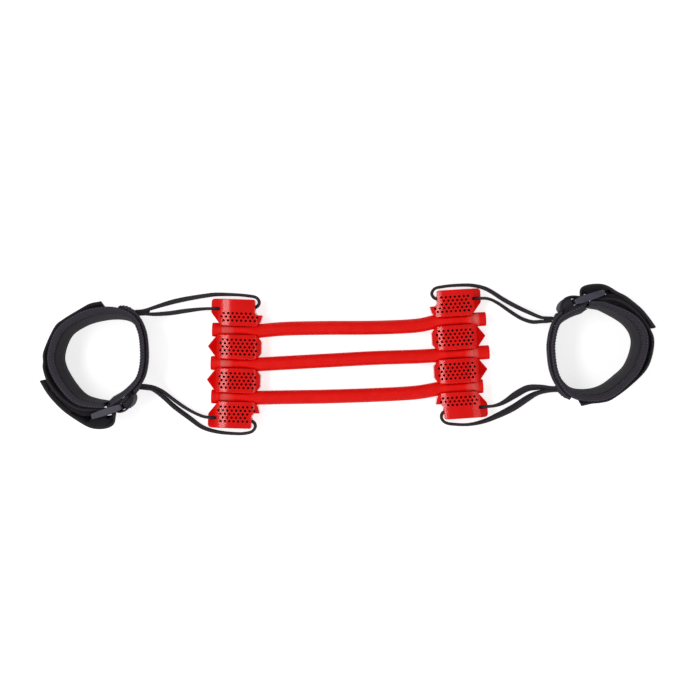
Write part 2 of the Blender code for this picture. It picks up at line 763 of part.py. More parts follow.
def tube_stations(number):
    """Places, level side directions and half sizes along a tube, from its left end to its right."""
    left, right = holder_matrix("left"), holder_matrix("right")
    v = GROOVE_PITCH * (1 - number)
    inside = (NECK_U - NECK_LENGTH, NECK_U - SEAT_GAP, *PINCH_STATIONS_U, FLARE_U[0])
    inside = (*inside, (FLARE_U[0] * 2 + FLARE_U[1]) / 3, (FLARE_U[0] + FLARE_U[1] * 2) / 3, FLARE_U[1])
    stations = []
    for place, reach, sign in ((left, TUBE_ENDS[number][0], 1), (right, TUBE_ENDS[number][1], -1)):
        across = [-reach, *inside]
        side = (place.to_3x3() @ Vector((0, sign, 0))).normalized()
        half = []
        for u in across:
            half.append((place @ Vector((u, v * sign, TUBE_AXIS_Z)), side, *tube_section(u)))
        stations.append(half)
    start, end = stations[0][-1][0], stations[1][-1][0]
    span = (end - start).length
    out = (left.to_3x3() @ Vector((1, 0, 0))) * span
    back = (right.to_3x3() @ Vector((-1, 0, 0))) * span
    free = []
    for k in range(1, SPAN_STATIONS + 1):
        t = k / (SPAN_STATIONS + 1)
        point = start * (2 * t**3 - 3 * t**2 + 1) + out * (t**3 - 2 * t**2 + t)
        point += end * (3 * t**2 - 2 * t**3) + back * (t**3 - t**2)
        ahead = start * (6 * t**2 - 6 * t) + out * (3 * t**2 - 4 * t + 1)
        ahead += end * (6 * t - 6 * t**2) + back * (3 * t**2 - 2 * t)
        side = Vector((-ahead.y, ahead.x, 0)).normalized()
        free.append((point, side, TUBE_DIAMETER / 2, TUBE_DIAMETER / 2))
    return stations[0] + free + stations[1][::-1]


def build_tube(number):
    wall = (TUBE_DIAMETER - TUBE_BORE) / 2
    outer, inner = [], []
    for point, side, half_width, half_height in tube_stations(number):
        for rings, thinner in ((outer, 0), (inner, wall)):
            ring = []
            for k in range(TUBE_SIDES):
                angle = 2 * pi * k / TUBE_SIDES
                level = side * (half_width - thinner) * cos(angle)
                ring.append(point + level + Vector((0, 0, (half_height - thinner) * sin(angle))))
            rings.append(ring)
    mesh = loft(f"tube_{number + 1}", outer + inner[::-1], ring_closed=True)
    put(f"tube_{number + 1}", mesh, finish=LATEX, smooth=50)


def build_plugs(number):
    """The two tapered plugs that keep a tube's ends swollen."""
    radius = TUBE_BORE * cos(pi / TUBE_SIDES) / 2 - SEAT_GAP
    tip = PLUG_LENGTH - mm
    profile = ((0, PLUG_LENGTH), (radius - mm, PLUG_LENGTH), (radius, tip), (radius, 0), (0, 0))
    v = GROOVE_PITCH * (1 - number)
    for side, reach, sign in (("left", TUBE_ENDS[number][0], 1), ("right", TUBE_ENDS[number][1], -1)):
        mesh = turned("plug", profile, TUBE_SIDES)
        plug = put(f"tube_{number + 1}_{side}_plug", mesh, finish=PLUG_PLASTIC, smooth=40)
        place = Matrix.Translation((-reach + PLUG_RECESS, v * sign, TUBE_AXIS_Z))
        plug.matrix_world = holder_matrix(side) @ place @ Matrix.Rotation(pi / 2, 4, "Y")


def strip_ring(point, ahead, tilt, width, thickness):
    """The four corners of a flat cord's section, standing on edge at no tilt."""
    level = Vector((ahead.y, -ahead.x, 0)).normalized()
    up = level.cross(ahead).normalized()
    broad = up * cos(tilt) + level * sin(tilt)
    thin = ahead.cross(broad).normalized()
    corners = ((-1, -1), (1, -1), (1, 1), (-1, 1))
    return [point + broad * width / 2 * a + thin * thickness / 2 * b for a, b in corners]


def build_cord(name):
    place = holder_matrix(name.split("_")[0])
    stations = spline(CORD_ROUTES[name], CORD_STEPS)
    points = []
    for u, past_end, z, _ in stations:
        v = CORD_END_SIGNS[name] * (HOLDER_HALF_LENGTH + past_end * mm)
        points.append(place @ Vector((u * mm, v, z * mm)))
    rings = []
    for k, point in enumerate(points):
        ahead = (points[min(k + 1, len(points) - 1)] - points[max(k - 1, 0)]).normalized()
        rings.append(strip_ring(point, ahead, radians(stations[k][3]), CORD_WIDTH, CORD_THICKNESS))
    put(f"{name}_cord", loft(f"{name}_cord", rings), finish=WEBBING)


def outline_stations(points, steps=2):
    """Bottom place, top place, outward direction and pad thickness along a cuff's inner outline."""
    smooth = spline(points, steps)
    stations = []
    for k, (x, y, thickness, lean) in enumerate(smooth):
        ahead = (smooth[min(k + 1, len(smooth) - 1)] - smooth[max(k - 1, 0)]).to_2d().normalized()
        outward = Vector((ahead.y, -ahead.x))
        low = Vector((x, y)) * mm
        stations.append((low, low + outward * lean * mm, outward, thickness * mm))
    return stations


def edge_stations(pairs, steps=2):
    """The same for a strap, whose lower and upper edges are given in pairs."""
    smooth = spline([(*low, *high) for low, high in pairs], steps)
    low = [Vector(s[:2]) * mm for s in smooth]
    high = [Vector(s[2:]) * mm for s in smooth]
    stations = []
    for k in range(len(smooth)):
        after, before = min(k + 1, len(smooth) - 1), max(k - 1, 0)
        ahead = (low[after] + high[after] - low[before] - high[before]).normalized()
        # the edges are given at the strap's own height and are carried on to the floor and the rim
        rise = (high[k] - low[k]) / STRAP_WIDTH
        below = (CUFF_HEIGHT - STRAP_WIDTH) / 2
        bottom = low[k] - rise * below
        stations.append((bottom, bottom + rise * CUFF_HEIGHT, Vector((ahead.y, -ahead.x)), 0))
    return stations


def wall(name, stations, section):
    """A standing strip along stations, with a section of outward offsets and heights."""
    rings = []
    for low, high, outward, thickness in stations:
        ring = []
        for offset, z in section(thickness):
            place = low + (high - low) * (z / CUFF_HEIGHT) + outward * offset
            ring.append((*place, z))
        rings.append(ring)
    return loft(name, rings)


def slab(near, far, z_low, z_high, near_on_pad=0, far_on_pad=0):
    """A plain rectangular section, with faces that may be counted from the outside of the pad."""

    def section(thickness):
        inner = near + thickness * near_on_pad
        outer = far + thickness * far_on_pad
        return ((inner, z_low), (outer, z_low), (outer, z_high), (inner, z_high))

    return section


def pad_section(thickness):
    """The padding's section: flat inside, bulging outside."""
    inner = LINING_THICKNESS + SEAT_GAP
    low = BINDING_HEIGHT + SEAT_GAP
    high = CUFF_HEIGHT - low
    third = (high - low) / 3
    edge = thickness - PAD_ROUNDING
    return (
        (inner, low),
        (edge, low),
        (thickness, low + third),
        (thickness, high - third),
        (edge, high),
        (inner, high),
    )


def ring_mesh():
    """A moulded rectangular ring, bellied along its length, with a window for the strap."""
    half = RING_LENGTH / 2
    belly, end = RING_BELLY / 2, RING_END / 2
    centre = half - RING_BAR / 2
    corners = (
        (-half - centre, -end, 0.8 * mm),
        (-centre, -belly, 0),
        (half - centre, -end, 0.8 * mm),
        (half - centre, end, 0.8 * mm),
        (-centre, belly, 0),
        (-half - centre, end, 0.8 * mm),
    )
    block = prism("ring", softened(corners, 2), *RING_Z)
    hole_low = (-RING_LENGTH + RING_BAR * 1.5, -RING_BELLY, RING_Z[0] + RING_RAIL)
    hole_high = (-RING_BAR / 2, RING_BELLY, RING_Z[1] - RING_RAIL)
    return combine("ring", block, [box("window", hole_low, hole_high)], "DIFFERENCE")


def place_in_cuff(side, node, mesh, finish, smooth=40):
    made = put(f"{side}_cuff_{node}", mesh, finish=finish, smooth=smooth)
    made.matrix_world = cuff_matrix(side)
    return made


def build_cuff(side):
    """One ankle cuff: padding, lining, bindings, webbing, ring and strap."""
    inner = outline_stations(CUFF_OUTLINES[side])
    low, high = BINDING_HEIGHT, CUFF_HEIGHT - BINDING_HEIGHT
    strap_low = (CUFF_HEIGHT - STRAP_WIDTH) / 2
    strap_high = CUFF_HEIGHT - strap_low
    place_in_cuff(side, "pad", wall("pad", inner, pad_section), NEOPRENE)
    lining = slab(0, LINING_THICKNESS, low + SEAT_GAP, high - SEAT_GAP)
    place_in_cuff(side, "lining", wall("lining", inner, lining), LINING)
    for node, z_low, z_high in (("lower_binding", 0, low), ("upper_binding", high, CUFF_HEIGHT)):
        tape = slab(0, 0, z_low, z_high, far_on_pad=1)
        place_in_cuff(side, node, wall(node, inner, tape), BINDING)

    anchor = slab(SEAT_GAP, SEAT_GAP + ANCHOR_THICKNESS, strap_low, strap_high, 1, 1)
    anchored = inner[slice(*ANCHOR_STATIONS[side])]
    place_in_cuff(side, "anchor_webbing", wall("anchor", anchored, anchor), WEBBING)
    keeper = edge_stations([(p, p) for p in KEEPER_PATHS[side]], 1)
    half = KEEPER_THICKNESS / 2
    section = slab(-half, half, strap_low, strap_high)
    place_in_cuff(side, "keeper_loop", wall("keeper", keeper, section), WEBBING)

    half = STRAP_THICKNESS / 2
    along_pad = []
    for bottom, top, outward, pad in [inner[k] for k in STRAP_STATIONS[side]]:
        offset = outward * (pad + STRAP_STANDOFF + half)
        rise = (top - bottom) / CUFF_HEIGHT
        edges = [bottom + rise * z + offset for z in (strap_low, strap_high)]
        along_pad.append([edge / mm for edge in edges])
    strap = edge_stations([*along_pad, *STRAP_LOOP])
    section = slab(-half, half, strap_low, strap_high)
    place_in_cuff(side, "strap", wall("strap", strap, section), WEBBING)
    tail = edge_stations(STRAP_TAIL)
    pivot = cuff_matrix(side) @ Matrix.Translation((*TAIL_FOLD, 0))
    tail_mesh = wall("tail", tail, section)
    patch_low = (CUFF_HEIGHT - PATCH_WIDTH) / 2
    patch_high = CUFF_HEIGHT - patch_low
    near, far = half + SEAT_GAP, half + SEAT_GAP + PATCH_THICKNESS
    loop_face = slab(near, far, patch_low, patch_high)
    first, last = LOOP_PATCH_STATIONS
    loops = edge_stations(STRAP_LOOP[first : last + 1])
    place_in_cuff(side, "loop_patch", wall("loop_patch", loops, loop_face), LOOP_PILE)
    first, last = HOOK_PATCH_STATIONS
    hooks = edge_stations(STRAP_TAIL[first : last + 1])
    hook_mesh = wall("hook_patch", hooks, loop_face)
    for node, mesh, finish in (("strap_tail", tail_mesh, WEBBING), ("hook_patch", hook_mesh, HOOK_TAPE)):
        mesh.transform(Matrix.Translation((-TAIL_FOLD[0], -TAIL_FOLD[1], 0)))
        place_in_cuff(side, node, mesh, finish).matrix_world = pivot
    ring = place_in_cuff(side, "ring", RING, MOULDED_RING)
    ring.matrix_world = cuff_matrix(side) @ Matrix.Translation((*RING_POST, 0)) @ Matrix.Rotation(
        radians(RING_TURN), 4, "Z"
    )


remove_old_objects()
PARTS = new_collection("lateral_resistance_trainer")
GUIDES = new_collection("guides")

RED_ABS = material("glossy_red_abs", (0.72, 0.01, 0.008), 0.25)
LATEX = material("red_latex", (0.62, 0.015, 0.008), 0.42)
PLUG_PLASTIC = material("red_plug_nylon", (0.45, 0.01, 0.01), 0.5)
STEEL = material("zinc_plated_steel", (0.6, 0.6, 0.62), 0.35, 1.0)
WEBBING = material("black_webbing", (0.012, 0.011, 0.013), 0.85)
NEOPRENE = material("black_neoprene", (0.02, 0.018, 0.022), 0.9)
LINING = material("black_lining", (0.018, 0.018, 0.02), 0.95)
BINDING = material("black_binding_tape", (0.022, 0.02, 0.024), 0.8)
LOOP_PILE = material("black_loop_pile", (0.014, 0.013, 0.015), 1.0)
HOOK_TAPE = material("black_hook_tape", (0.02, 0.02, 0.022), 0.6)
MOULDED_RING = material("grey_acetal", (0.05, 0.048, 0.065), 0.45)

SHELL = front_shell_mesh()
COVER = back_cover_mesh()
SCREW = screw_mesh()
RING = ring_mesh()
for each_side in ("left", "right"):
    build_holder(each_side)
    build_cuff(each_side)
for tube_number in range(len(TUBE_ENDS)):
    build_tube(tube_number)
    build_plugs(tube_number)
for cord_name in CORD_ROUTES:
    build_cord(cord_name)
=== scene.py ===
"""Looks of a lateral resistance trainer: latex tubes between perforated holders, webbing and ankle cuffs.

Sizes are in millimetres until mm turns them into metres. The trainer lies flat: X runs along its
tubes and Y along its holders. Each holder has its own u, towards the middle, and v, along it.
"""

import json
from contextlib import contextmanager
from math import cos, pi, radians, sin, sqrt

import bmesh
import bpy
from mathutils import Matrix, Vector

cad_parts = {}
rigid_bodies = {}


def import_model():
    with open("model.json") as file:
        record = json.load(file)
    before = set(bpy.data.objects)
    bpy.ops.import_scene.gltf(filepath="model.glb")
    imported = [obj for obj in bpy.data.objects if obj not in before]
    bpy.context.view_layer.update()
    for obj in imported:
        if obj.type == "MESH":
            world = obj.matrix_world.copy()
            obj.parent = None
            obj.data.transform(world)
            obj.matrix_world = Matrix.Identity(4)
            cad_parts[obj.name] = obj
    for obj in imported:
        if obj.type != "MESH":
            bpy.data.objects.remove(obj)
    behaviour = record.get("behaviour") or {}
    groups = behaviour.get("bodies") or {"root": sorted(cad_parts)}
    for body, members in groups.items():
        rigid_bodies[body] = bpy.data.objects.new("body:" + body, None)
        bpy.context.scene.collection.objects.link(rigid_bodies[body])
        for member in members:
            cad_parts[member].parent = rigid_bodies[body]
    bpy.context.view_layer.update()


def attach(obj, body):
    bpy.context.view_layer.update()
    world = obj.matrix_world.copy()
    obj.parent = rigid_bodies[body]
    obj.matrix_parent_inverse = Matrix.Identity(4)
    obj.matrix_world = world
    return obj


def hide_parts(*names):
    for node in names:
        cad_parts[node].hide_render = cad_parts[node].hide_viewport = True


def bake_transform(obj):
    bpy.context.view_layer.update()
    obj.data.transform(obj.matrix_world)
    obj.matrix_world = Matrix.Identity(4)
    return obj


mm = 0.001

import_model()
scene = bpy.context.scene
scene.view_settings.view_transform = "Standard"

# Camera: straight above the trainer, and high, so that perspective leans the cuffs out only a little
CAMERA_OVER = (1.9, 5.0)
CAMERA_HEIGHT = 1800
FLOOR_WIDTH_IN_VIEW = 735
SENSOR = 36

bpy.ops.object.camera_add(location=(CAMERA_OVER[0] * mm, CAMERA_OVER[1] * mm, CAMERA_HEIGHT * mm))
camera = bpy.context.object
camera.data.sensor_width = SENSOR
camera.data.lens = SENSOR * CAMERA_HEIGHT / FLOOR_WIDTH_IN_VIEW
scene.camera = camera

# Where the holders and the cuffs lie: x, y and turn
HOLDERS = {"left": (-118.9, -9.2, -1.8), "right": (116.3, 0.9, 183.6)}
CUFFS = {"left": (-257.4, -5.5, 0), "right": (257.4, 6.6, 180)}


def placed(x, y, turn):
    return Matrix.Translation((x * mm, y * mm, 0)) @ Matrix.Rotation(radians(turn), 4, "Z")


# Materials


def linear(code):
    """A hex sRGB colour as linear red, green, blue and alpha."""
    parts = [int(code[k : k + 2], 16) / 255 for k in (1, 3, 5)]
    return [c / 12.92 if c <= 0.04045 else ((c + 0.055) / 1.055) ** 2.4 for c in parts] + [1.0]


def feed(made, node, inputs):
    """Sets a node's inputs, by name or in their order, to values, to sockets or to nodes' first outputs."""
    for socket, value in inputs.items() if isinstance(inputs, dict) else enumerate(inputs):
        if isinstance(value, bpy.types.Node):
            value = value.outputs[0]
        if isinstance(value, bpy.types.NodeSocket):
            made.node_tree.links.new(value, node.inputs[socket])
        else:
            node.inputs[socket].default_value = value


def add_node(made, kind, inputs=(), stops=(), **settings):
    """A node with its settings, its inputs and the colour stops of a ramp."""
    node = made.node_tree.nodes.new("ShaderNode" + kind)
    for setting, value in settings.items():
        setattr(node, setting, value)
    if stops:
        for element, (position, code) in zip(node.color_ramp.elements, stops):
            element.position, element.color = position, linear(code)
    feed(made, node, inputs)
    return node


def new_material(name, **values):
    """A material, its shader with the values given by socket, and its object coordinates in metres."""
    made = bpy.data.materials.new(name)
    made.use_nodes = True
    shader = made.node_tree.nodes["Principled BSDF"]
    feed(made, shader, {socket.replace("_", " "): value for socket, value in values.items()})
    return made, shader, add_node(made, "TexCoord").outputs["Object"]


def lumps(size, detail=2.0, roughness=0.5):
    """Settings of a noise whose lumps are about this many millimetres across."""
    return {"Scale": 1 / (size * mm), "Detail": detail, "Roughness": roughness}


def glossy_abs(name="glossy_moulded_red_abs", inside=None):
    """Injection-moulded ABS from a polished mould: glossy, with faint flow ripples and fine handling marks.

    A cover's upward faces lie inside the holder: unpolished, and painted dark as painted shade for the
    holder's shaded inside, seen through the holes.
    """
    made, shader, here = new_material(name, IOR=1.5, Specular_IOR_Level=0.3)
    flow = add_node(made, "TexNoise", {"Vector": here, **lumps(22, 3)})
    red = add_node(made, "ValToRGB", (flow,), ((0.3, "#EA0602"), (0.7, "#F40C06")))
    marks = add_node(made, "TexNoise", {"Vector": here, **lumps(1.6, 4, 0.6)})
    polish = add_node(made, "MapRange", (marks, 0.3, 0.75, 0.12, 0.16))
    if inside:
        # Painted shade: upward faces take the inside colour, and also get rougher
        facing = add_node(made, "SeparateXYZ", (add_node(made, "NewGeometry").outputs["Normal"],))
        inner_shade_and_matt = add_node(made, "MapRange", (facing.outputs["Z"], 0.5, 0.6, 0, 1))
        both = {0: inner_shade_and_matt, "A": red, "B": linear(inside)}
        red = add_node(made, "Mix", both, data_type="RGBA").outputs["Result"]
        matt = add_node(made, "Math", (inner_shade_and_matt, 0.75), operation="MULTIPLY")
        polish = add_node(made, "Math", (polish, matt), operation="ADD")
    ripples = add_node(made, "Bump", {"Height": flow, "Distance": 0.05 * mm})
    feed(made, shader, {"Base Color": red, "Roughness": polish, "Normal": ripples})
    return made


def dipped_latex():
    """Dipped latex tube: satin, a little see-through, with fine drag lines, a bloom, and a pale painted
    highlight near each end.
    """
    made, shader, here = new_material(
        "dipped_red_latex",
        IOR=1.52,
        Specular_IOR_Level=0.16,
        Subsurface_Weight=0.08,
        Subsurface_Radius=(1.0, 0.2, 0.1),
        Subsurface_Scale=1.5 * mm,
    )
    bloom = add_node(made, "TexNoise", {"Vector": here, **lumps(9, 4, 0.6)})
    red = add_node(made, "ValToRGB", (bloom,), ((0.32, "#F20903"), (0.68, "#FC130A")))
    # A pale painted highlight band, where a holder's groove squeezes the tube, 9 to 24 mm from either end
    strip_map = add_node(made, "UVMap", uv_map="strip")
    place = add_node(made, "SeparateXYZ", (strip_map,)).outputs["Y"]
    along = add_node(made, "Math", (place, HALF_TUBE), operation="PINGPONG")
    starts = add_node(made, "MapRange", (along, 0.009, 0.012, 0, 1))
    stops = add_node(made, "MapRange", (along, 0.014, 0.024, 1, 0))
    band = add_node(made, "Math", (starts, stops), operation="MULTIPLY")
    painted_highlight = add_node(made, "Math", (band, bloom), operation="MULTIPLY")
    # Painted highlight: pale pink over the band, patchy with the bloom
    highlighted = add_node(made, "Mix", {0: painted_highlight, "A": red, "B": linear("#E0827A")}, data_type="RGBA")
    drawn_out = add_node(made, "Mapping", {"Vector": here, "Scale": (0.06, 1, 1)})
    drag = add_node(made, "TexNoise", {"Vector": drawn_out, **lumps(0.9, 3)})
    satin = add_node(made, "MapRange", (drag, 0.3, 0.7, 0.38, 0.5))
    lines = add_node(made, "Bump", {"Height": drag, "Distance": 0.03 * mm})
    feed(made, shader, {"Base Color": highlighted.outputs["Result"], "Roughness": satin, "Normal": lines})
    return made


def woven(name, dark, light, rib, pick, rib_share, relief):
    """Woven nylon webbing on the piece's own strip map, in metres: picks across it and ribs along it."""
    made, shader, here = new_material(
        name,
        IOR=1.5,
        Roughness=0.78,
        Sheen_Weight=0.15,
        Sheen_Roughness=0.45,
        Sheen_Tint=linear("#8C8896"),
    )
    strip_map = add_node(made, "UVMap", uv_map="strip")
    place = add_node(made, "SeparateXYZ", (strip_map,))
    waves = []
    for axis, step, share in (("X", rib, rib_share), ("Y", pick, 1 - rib_share)):
        turns = add_node(made, "Math", (place.outputs[axis], 2 * pi / (step * mm)), operation="MULTIPLY")
        sine = add_node(made, "Math", (turns,), operation="SINE")
        height = add_node(made, "MapRange", (sine, -1, 1, 0, 1))
        waves.append(add_node(made, "Math", (height, share), operation="MULTIPLY"))
    weave = add_node(made, "Math", waves, operation="ADD")
    fuzz = add_node(made, "TexNoise", {"Vector": here, **lumps(0.7, 3)})
    worn = add_node(made, "Math", (weave, fuzz), operation="MULTIPLY")
    colour = add_node(made, "ValToRGB", (worn,), ((0.08, dark), (0.5, light)))
    ribs = add_node(made, "Bump", {"Height": worn, "Distance": relief * mm})
    feed(made, shader, {"Base Color": colour, "Normal": ribs})
    return made


def knit(name, dark, light, stitch, relief, sheen, roughness=0.85):
    """Fine knit face of neoprene, lining or pile: even small loops, with soft tone changes."""
    made, shader, here = new_material(
        name,
        IOR=1.45,
        Roughness=roughness,
        Sheen_Weight=sheen,
        Sheen_Roughness=0.5,
        Sheen_Tint=linear("#77737F"),
    )
    loops = {"Vector": here, "Scale": 1 / (stitch * mm), "Randomness": 0.55}
    cells = add_node(made, "TexVoronoi", loops)
    tone = add_node(made, "TexNoise", {"Vector": here, **lumps(13, 3)})
    mixed = add_node(made, "Math", (cells, tone), operation="MULTIPLY")
    colour = add_node(made, "ValToRGB", (mixed,), ((0.05, dark), (0.4, light)))
    raised = add_node(made, "Bump", {"Height": cells, "Distance": relief * mm})
    feed(made, shader, {"Base Color": colour, "Normal": raised})
    return made


def mottled(name, size, colours, polish=None, grain=None, relief=0.03, **values):
    """A dense plain material whose tone and roughness drift over lumps of this size, with a finer grain."""
    made, shader, here = new_material(name, **values)
    drift = add_node(made, "TexNoise", {"Vector": here, **lumps(*size)})
    feed(made, shader, {"Base Color": add_node(made, "ValToRGB", (drift,), colours)})
    if polish:
        feed(made, shader, {"Roughness": add_node(made, "MapRange", (drift, 0.3, 0.7, *polish))})
    fine = add_node(made, "TexNoise", {"Vector": here, **lumps(*grain)}) if grain else drift
    feed(made, shader, {"Normal": add_node(made, "Bump", {"Height": fine, "Distance": relief * mm})})
    return made


# Half of a tube's length in metres, so that both of its ends get the painted highlight alike
HALF_TUBE = 0.144

RED_ABS = glossy_abs()
# The inside colour #2A0302 is painted shade for the dark inside of the holder
COVER_ABS = glossy_abs("moulded_red_abs_with_matt_inside", "#2A0302")
LATEX = dipped_latex()
CORD_WEBBING = woven("narrow_nylon_webbing", "#110E13", "#3C3642", 1.3, 1.1, 0.35, 0.25)
STRAP_WEBBING = woven("broad_nylon_webbing", "#110E13", "#363039", 1.5, 1.3, 0.3, 0.25)
ANCHOR_WEBBING = woven("ribbed_anchor_webbing", "#18141B", "#534C59", 2.4, 1.4, 0.6, 0.5)
BINDING_TAPE = woven("folded_binding_tape", "#15111A", "#3E3645", 1.1, 0.9, 0.3, 0.15)
NEOPRENE = knit("knit_faced_neoprene", "#141016", "#322C36", 0.9, 0.08, 0.14)
LINING = knit("brushed_knit_lining", "#110E13", "#262129", 1.2, 0.12, 0.2, 0.92)
PILE = knit("brushed_loop_pile", "#0B0A0D", "#1F1C23", 0.8, 0.3, 0.8, 0.98)
HOOKS = knit("nylon_hook_tape", "#0E0D10", "#29262E", 1.0, 0.35, 0.2, 0.6)
# Moulded acetal: dark bluish grey and satin, worn smoother in places, with a fine mould texture
ACETAL = mottled(
    "moulded_grey_acetal", (6, 3), ((0.3, "#3A3845"), (0.75, "#4A4857")), (0.42, 0.55), (0.5, 3), IOR=1.48
)
# Bonded nylon thread: twisted, a little paler and shinier than the tape it is sewn through
THREAD = mottled(
    "bonded_nylon_thread", (0.5, 2), ((0.3, "#3B3642"), (0.7, "#6A6472")), relief=0.06, Roughness=0.5
)
# Bright zinc on turned steel: cloudy blue-white metal with duller patches and a fine turned grain
ZINC = mottled(
    "zinc_plated_screw_steel",
    (1.4, 3),
    ((0.3, "#A9AEB6"), (0.7, "#CDD0D4")),
    (0.42, 0.24),
    (0.25, 2),
    0.01,
    Metallic=1.0,
)
# Moulded nylon: dull mottled red with a matt mould face
NYLON = mottled(
    "moulded_red_nylon", (3, 3), ((0.3, "#9A0A07"), (0.7, "#B4120E")), (0.45, 0.6), (0.4, 2), 0.02, IOR=1.53
)


# Floor, lamps and world

BACKDROP_LIFT = 0.7
# Place and two sizes in metres, and power; each lamp is aimed at the middle of the trainer
LAMPS = {
    "left_softbox": ((-1.72, 0.1, 3.0), (2.2, 0.8), 44),
    "right_softbox": ((1.6, -0.5, 1.9), (1.0, 1.0), 6),
    "front_softbox": ((0.2, -1.9, 1.5), (1.8, 0.7), 6),
}
WORLD_STRENGTH = 0.36


def lift_backdrop(made, shader):
    """Adds white to what the camera, gloss and clear things see of the backdrop, but none to its light."""
    rays = add_node(made, "LightPath")
    seen = rays.outputs["Is Camera Ray"]
    for ray in ("Is Glossy Ray", "Is Transmission Ray"):
        seen = add_node(made, "Math", (seen, rays.outputs[ray]), operation="MAXIMUM")
    lifted = add_node(made, "Math", (seen, BACKDROP_LIFT), operation="MULTIPLY")
    feed(made, shader, {"Emission Color": (1, 1, 1, 1), "Emission Strength": lifted})


bpy.ops.object.select_all(action="DESELECT")
bpy.ops.mesh.primitive_plane_add(size=8)
floor = bpy.context.object
floor.name = "floor"
paper, paper_shader, _ = new_material("matt_white_paper_floor", Base_Color=linear("#DCDCDC"), Roughness=0.9)
lift_backdrop(paper, paper_shader)
floor.data.materials.append(paper)

for lamp_name, (lamp_place, lamp_size, power) in LAMPS.items():
    bpy.ops.object.light_add(type="AREA", location=lamp_place)
    lamp = bpy.context.object
    lamp.name = lamp_name
    lamp.rotation_euler = (-Vector(lamp_place)).to_track_quat("-Z", "Y").to_euler()
    lamp.data.shape = "RECTANGLE"
    lamp.data.size, lamp.data.size_y = lamp_size
    lamp.data.energy = power

world = bpy.data.worlds.new("soft_white_studio")
world.use_nodes = True
scene.world = world
feed(world, world.node_tree.nodes["Background"], {"Color": (1, 1, 1, 1), "Strength": WORLD_STRENGTH})


# Shared modelling steps


def choose(*pieces):
    """Selects these pieces alone, the first of them active."""
    if bpy.context.object and bpy.context.object.mode != "OBJECT":
        bpy.ops.object.mode_set(mode="OBJECT")
    bpy.ops.object.select_all(action="DESELECT")
    for piece in pieces:
        piece.select_set(True)
    if pieces:
        bpy.context.view_layer.objects.active = pieces[0]


@contextmanager
def edit_mode(piece, action="SELECT"):
    """Edit mode on a piece, with all of it selected or none."""
    choose(piece)
    bpy.ops.object.mode_set(mode="EDIT")
    bpy.ops.mesh.select_all(action=action)
    yield
    bpy.ops.object.mode_set(mode="OBJECT")


def apply_modifiers(piece):
    choose(piece)
    for modifier in list(piece.modifiers):
        bpy.ops.object.modifier_apply(modifier=modifier.name)


def cut(piece, tool, operation="DIFFERENCE"):
    """Applies a Boolean with a tool, which is then deleted."""
    boolean = piece.modifiers.new("cut", "BOOLEAN")
    boolean.solver = "MANIFOLD"
    boolean.operation = operation
    boolean.object = tool
    apply_modifiers(piece)
    bpy.data.objects.remove(tool, do_unlink=True)
    return piece


def dress(piece, material, slot, body=None, node=None):
    """Gives a piece its material and its body, and hides the node that it stands for. The slot is not used.
    """
    piece.data.materials.append(material)
    if body:
        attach(piece, body)
    if node:
        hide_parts(node)
    return piece


def join(*pieces):
    choose(*pieces)
    bpy.ops.object.join()
    return bpy.context.object


def copied(piece, matrix):
    copy = piece.copy()
    copy.data = piece.data.copy()
    scene.collection.objects.link(copy)
    copy.data.transform(matrix)
    return copy


def spline(points, steps):
    """Points of any size on a smooth curve through the given ones."""
    points = [Vector(p) for p in points]
    ends = [points[0] * 2 - points[1], *points, points[-1] * 2 - points[-2]]
    smooth = []
    for a, b, c, d in zip(ends, ends[1:], ends[2:], ends[3:]):
        for step in range(steps):
            t = step / steps
            pull = (c - a) * t + (a * 2 - b * 5 + c * 4 - d) * t**2 + (b * 3 - a - c * 3 + d) * t**3
            smooth.append(b + pull / 2)
    return [*smooth, points[-1]]


def as_piece(shape, name):
    """A piece made of a bmesh, with its faces turned outwards."""
    bmesh.ops.recalc_face_normals(shape, faces=shape.faces)
    mesh = bpy.data.meshes.new(name)
    shape.to_mesh(mesh)
    shape.free()
    piece = bpy.data.objects.new(name, mesh)
    scene.collection.objects.link(piece)
    return piece


def strip(name, rings, closed=False):
    """A skin over rings of points, with a strip map in metres: X round the section, Y along the strip."""
    shape = bmesh.new()
    layer = shape.loops.layers.uv.new("strip")
    rows = [[shape.verts.new(p) for p in ring] for ring in rings]
    count = len(rings[0])
    round_it = [0.0]
    middle = rings[len(rings) // 2]
    for k in range(count):
        round_it.append(round_it[-1] + (Vector(middle[(k + 1) % count]) - Vector(middle[k])).length)
    along = [0.0]
    for a, b in zip(rings, rings[1:]):
        centres = [sum((Vector(p) for p in ring), Vector()) / count for ring in (a, b)]
        along.append(along[-1] + (centres[1] - centres[0]).length)
    for row, (lower, upper) in enumerate(zip(rows, rows[1:])):
        for k in range(count):
            n = (k + 1) % count
            face = shape.faces.new((lower[k], lower[n], upper[n], upper[k]))
            places = ((k, row), (k + 1, row), (k + 1, row + 1), (k, row + 1))
            for loop, (a, b) in zip(face.loops, places):
                loop[layer].uv = (round_it[a], along[b])
            face.smooth = True
    if not closed:
        for row, b in ((rows[0], along[0]), (rows[-1], along[-1])):
            face = shape.faces.new(row)
            for k, loop in enumerate(face.loops):
                loop[layer].uv = (round_it[k], b)
    return as_piece(shape, name)


def rounded_section(width, thickness, turns=3):
    """A flat strip's section with rounded edges: pairs across its width and its thickness."""
    edge = thickness / 2
    points = []
    for side, start in ((1, -pi / 2), (-1, pi / 2)):
        for step in range(turns + 1):
            angle = start + pi * step / turns
            points.append((side * (width / 2 - edge) + edge * cos(angle), edge * sin(angle)))
        for share in (0.5, 0.0, -0.5):
            points.append((side * share * (width - thickness), side * edge))
    return points


# Flat cords: one length of webbing on each end pod, from the cuff through the slot, round and back
CORD_WIDTH = 9.0
CORD_THICKNESS = 3.1
CORD_STEPS = 6
CORD_RIB = 2.0
CORD_RIB_SWELL = 0.16
JUNCTION_STEPS = 9
JUNCTION_END, JUNCTION_INSET = 0.2, 0.6
HOLDER_HALF_LENGTH = 67.0
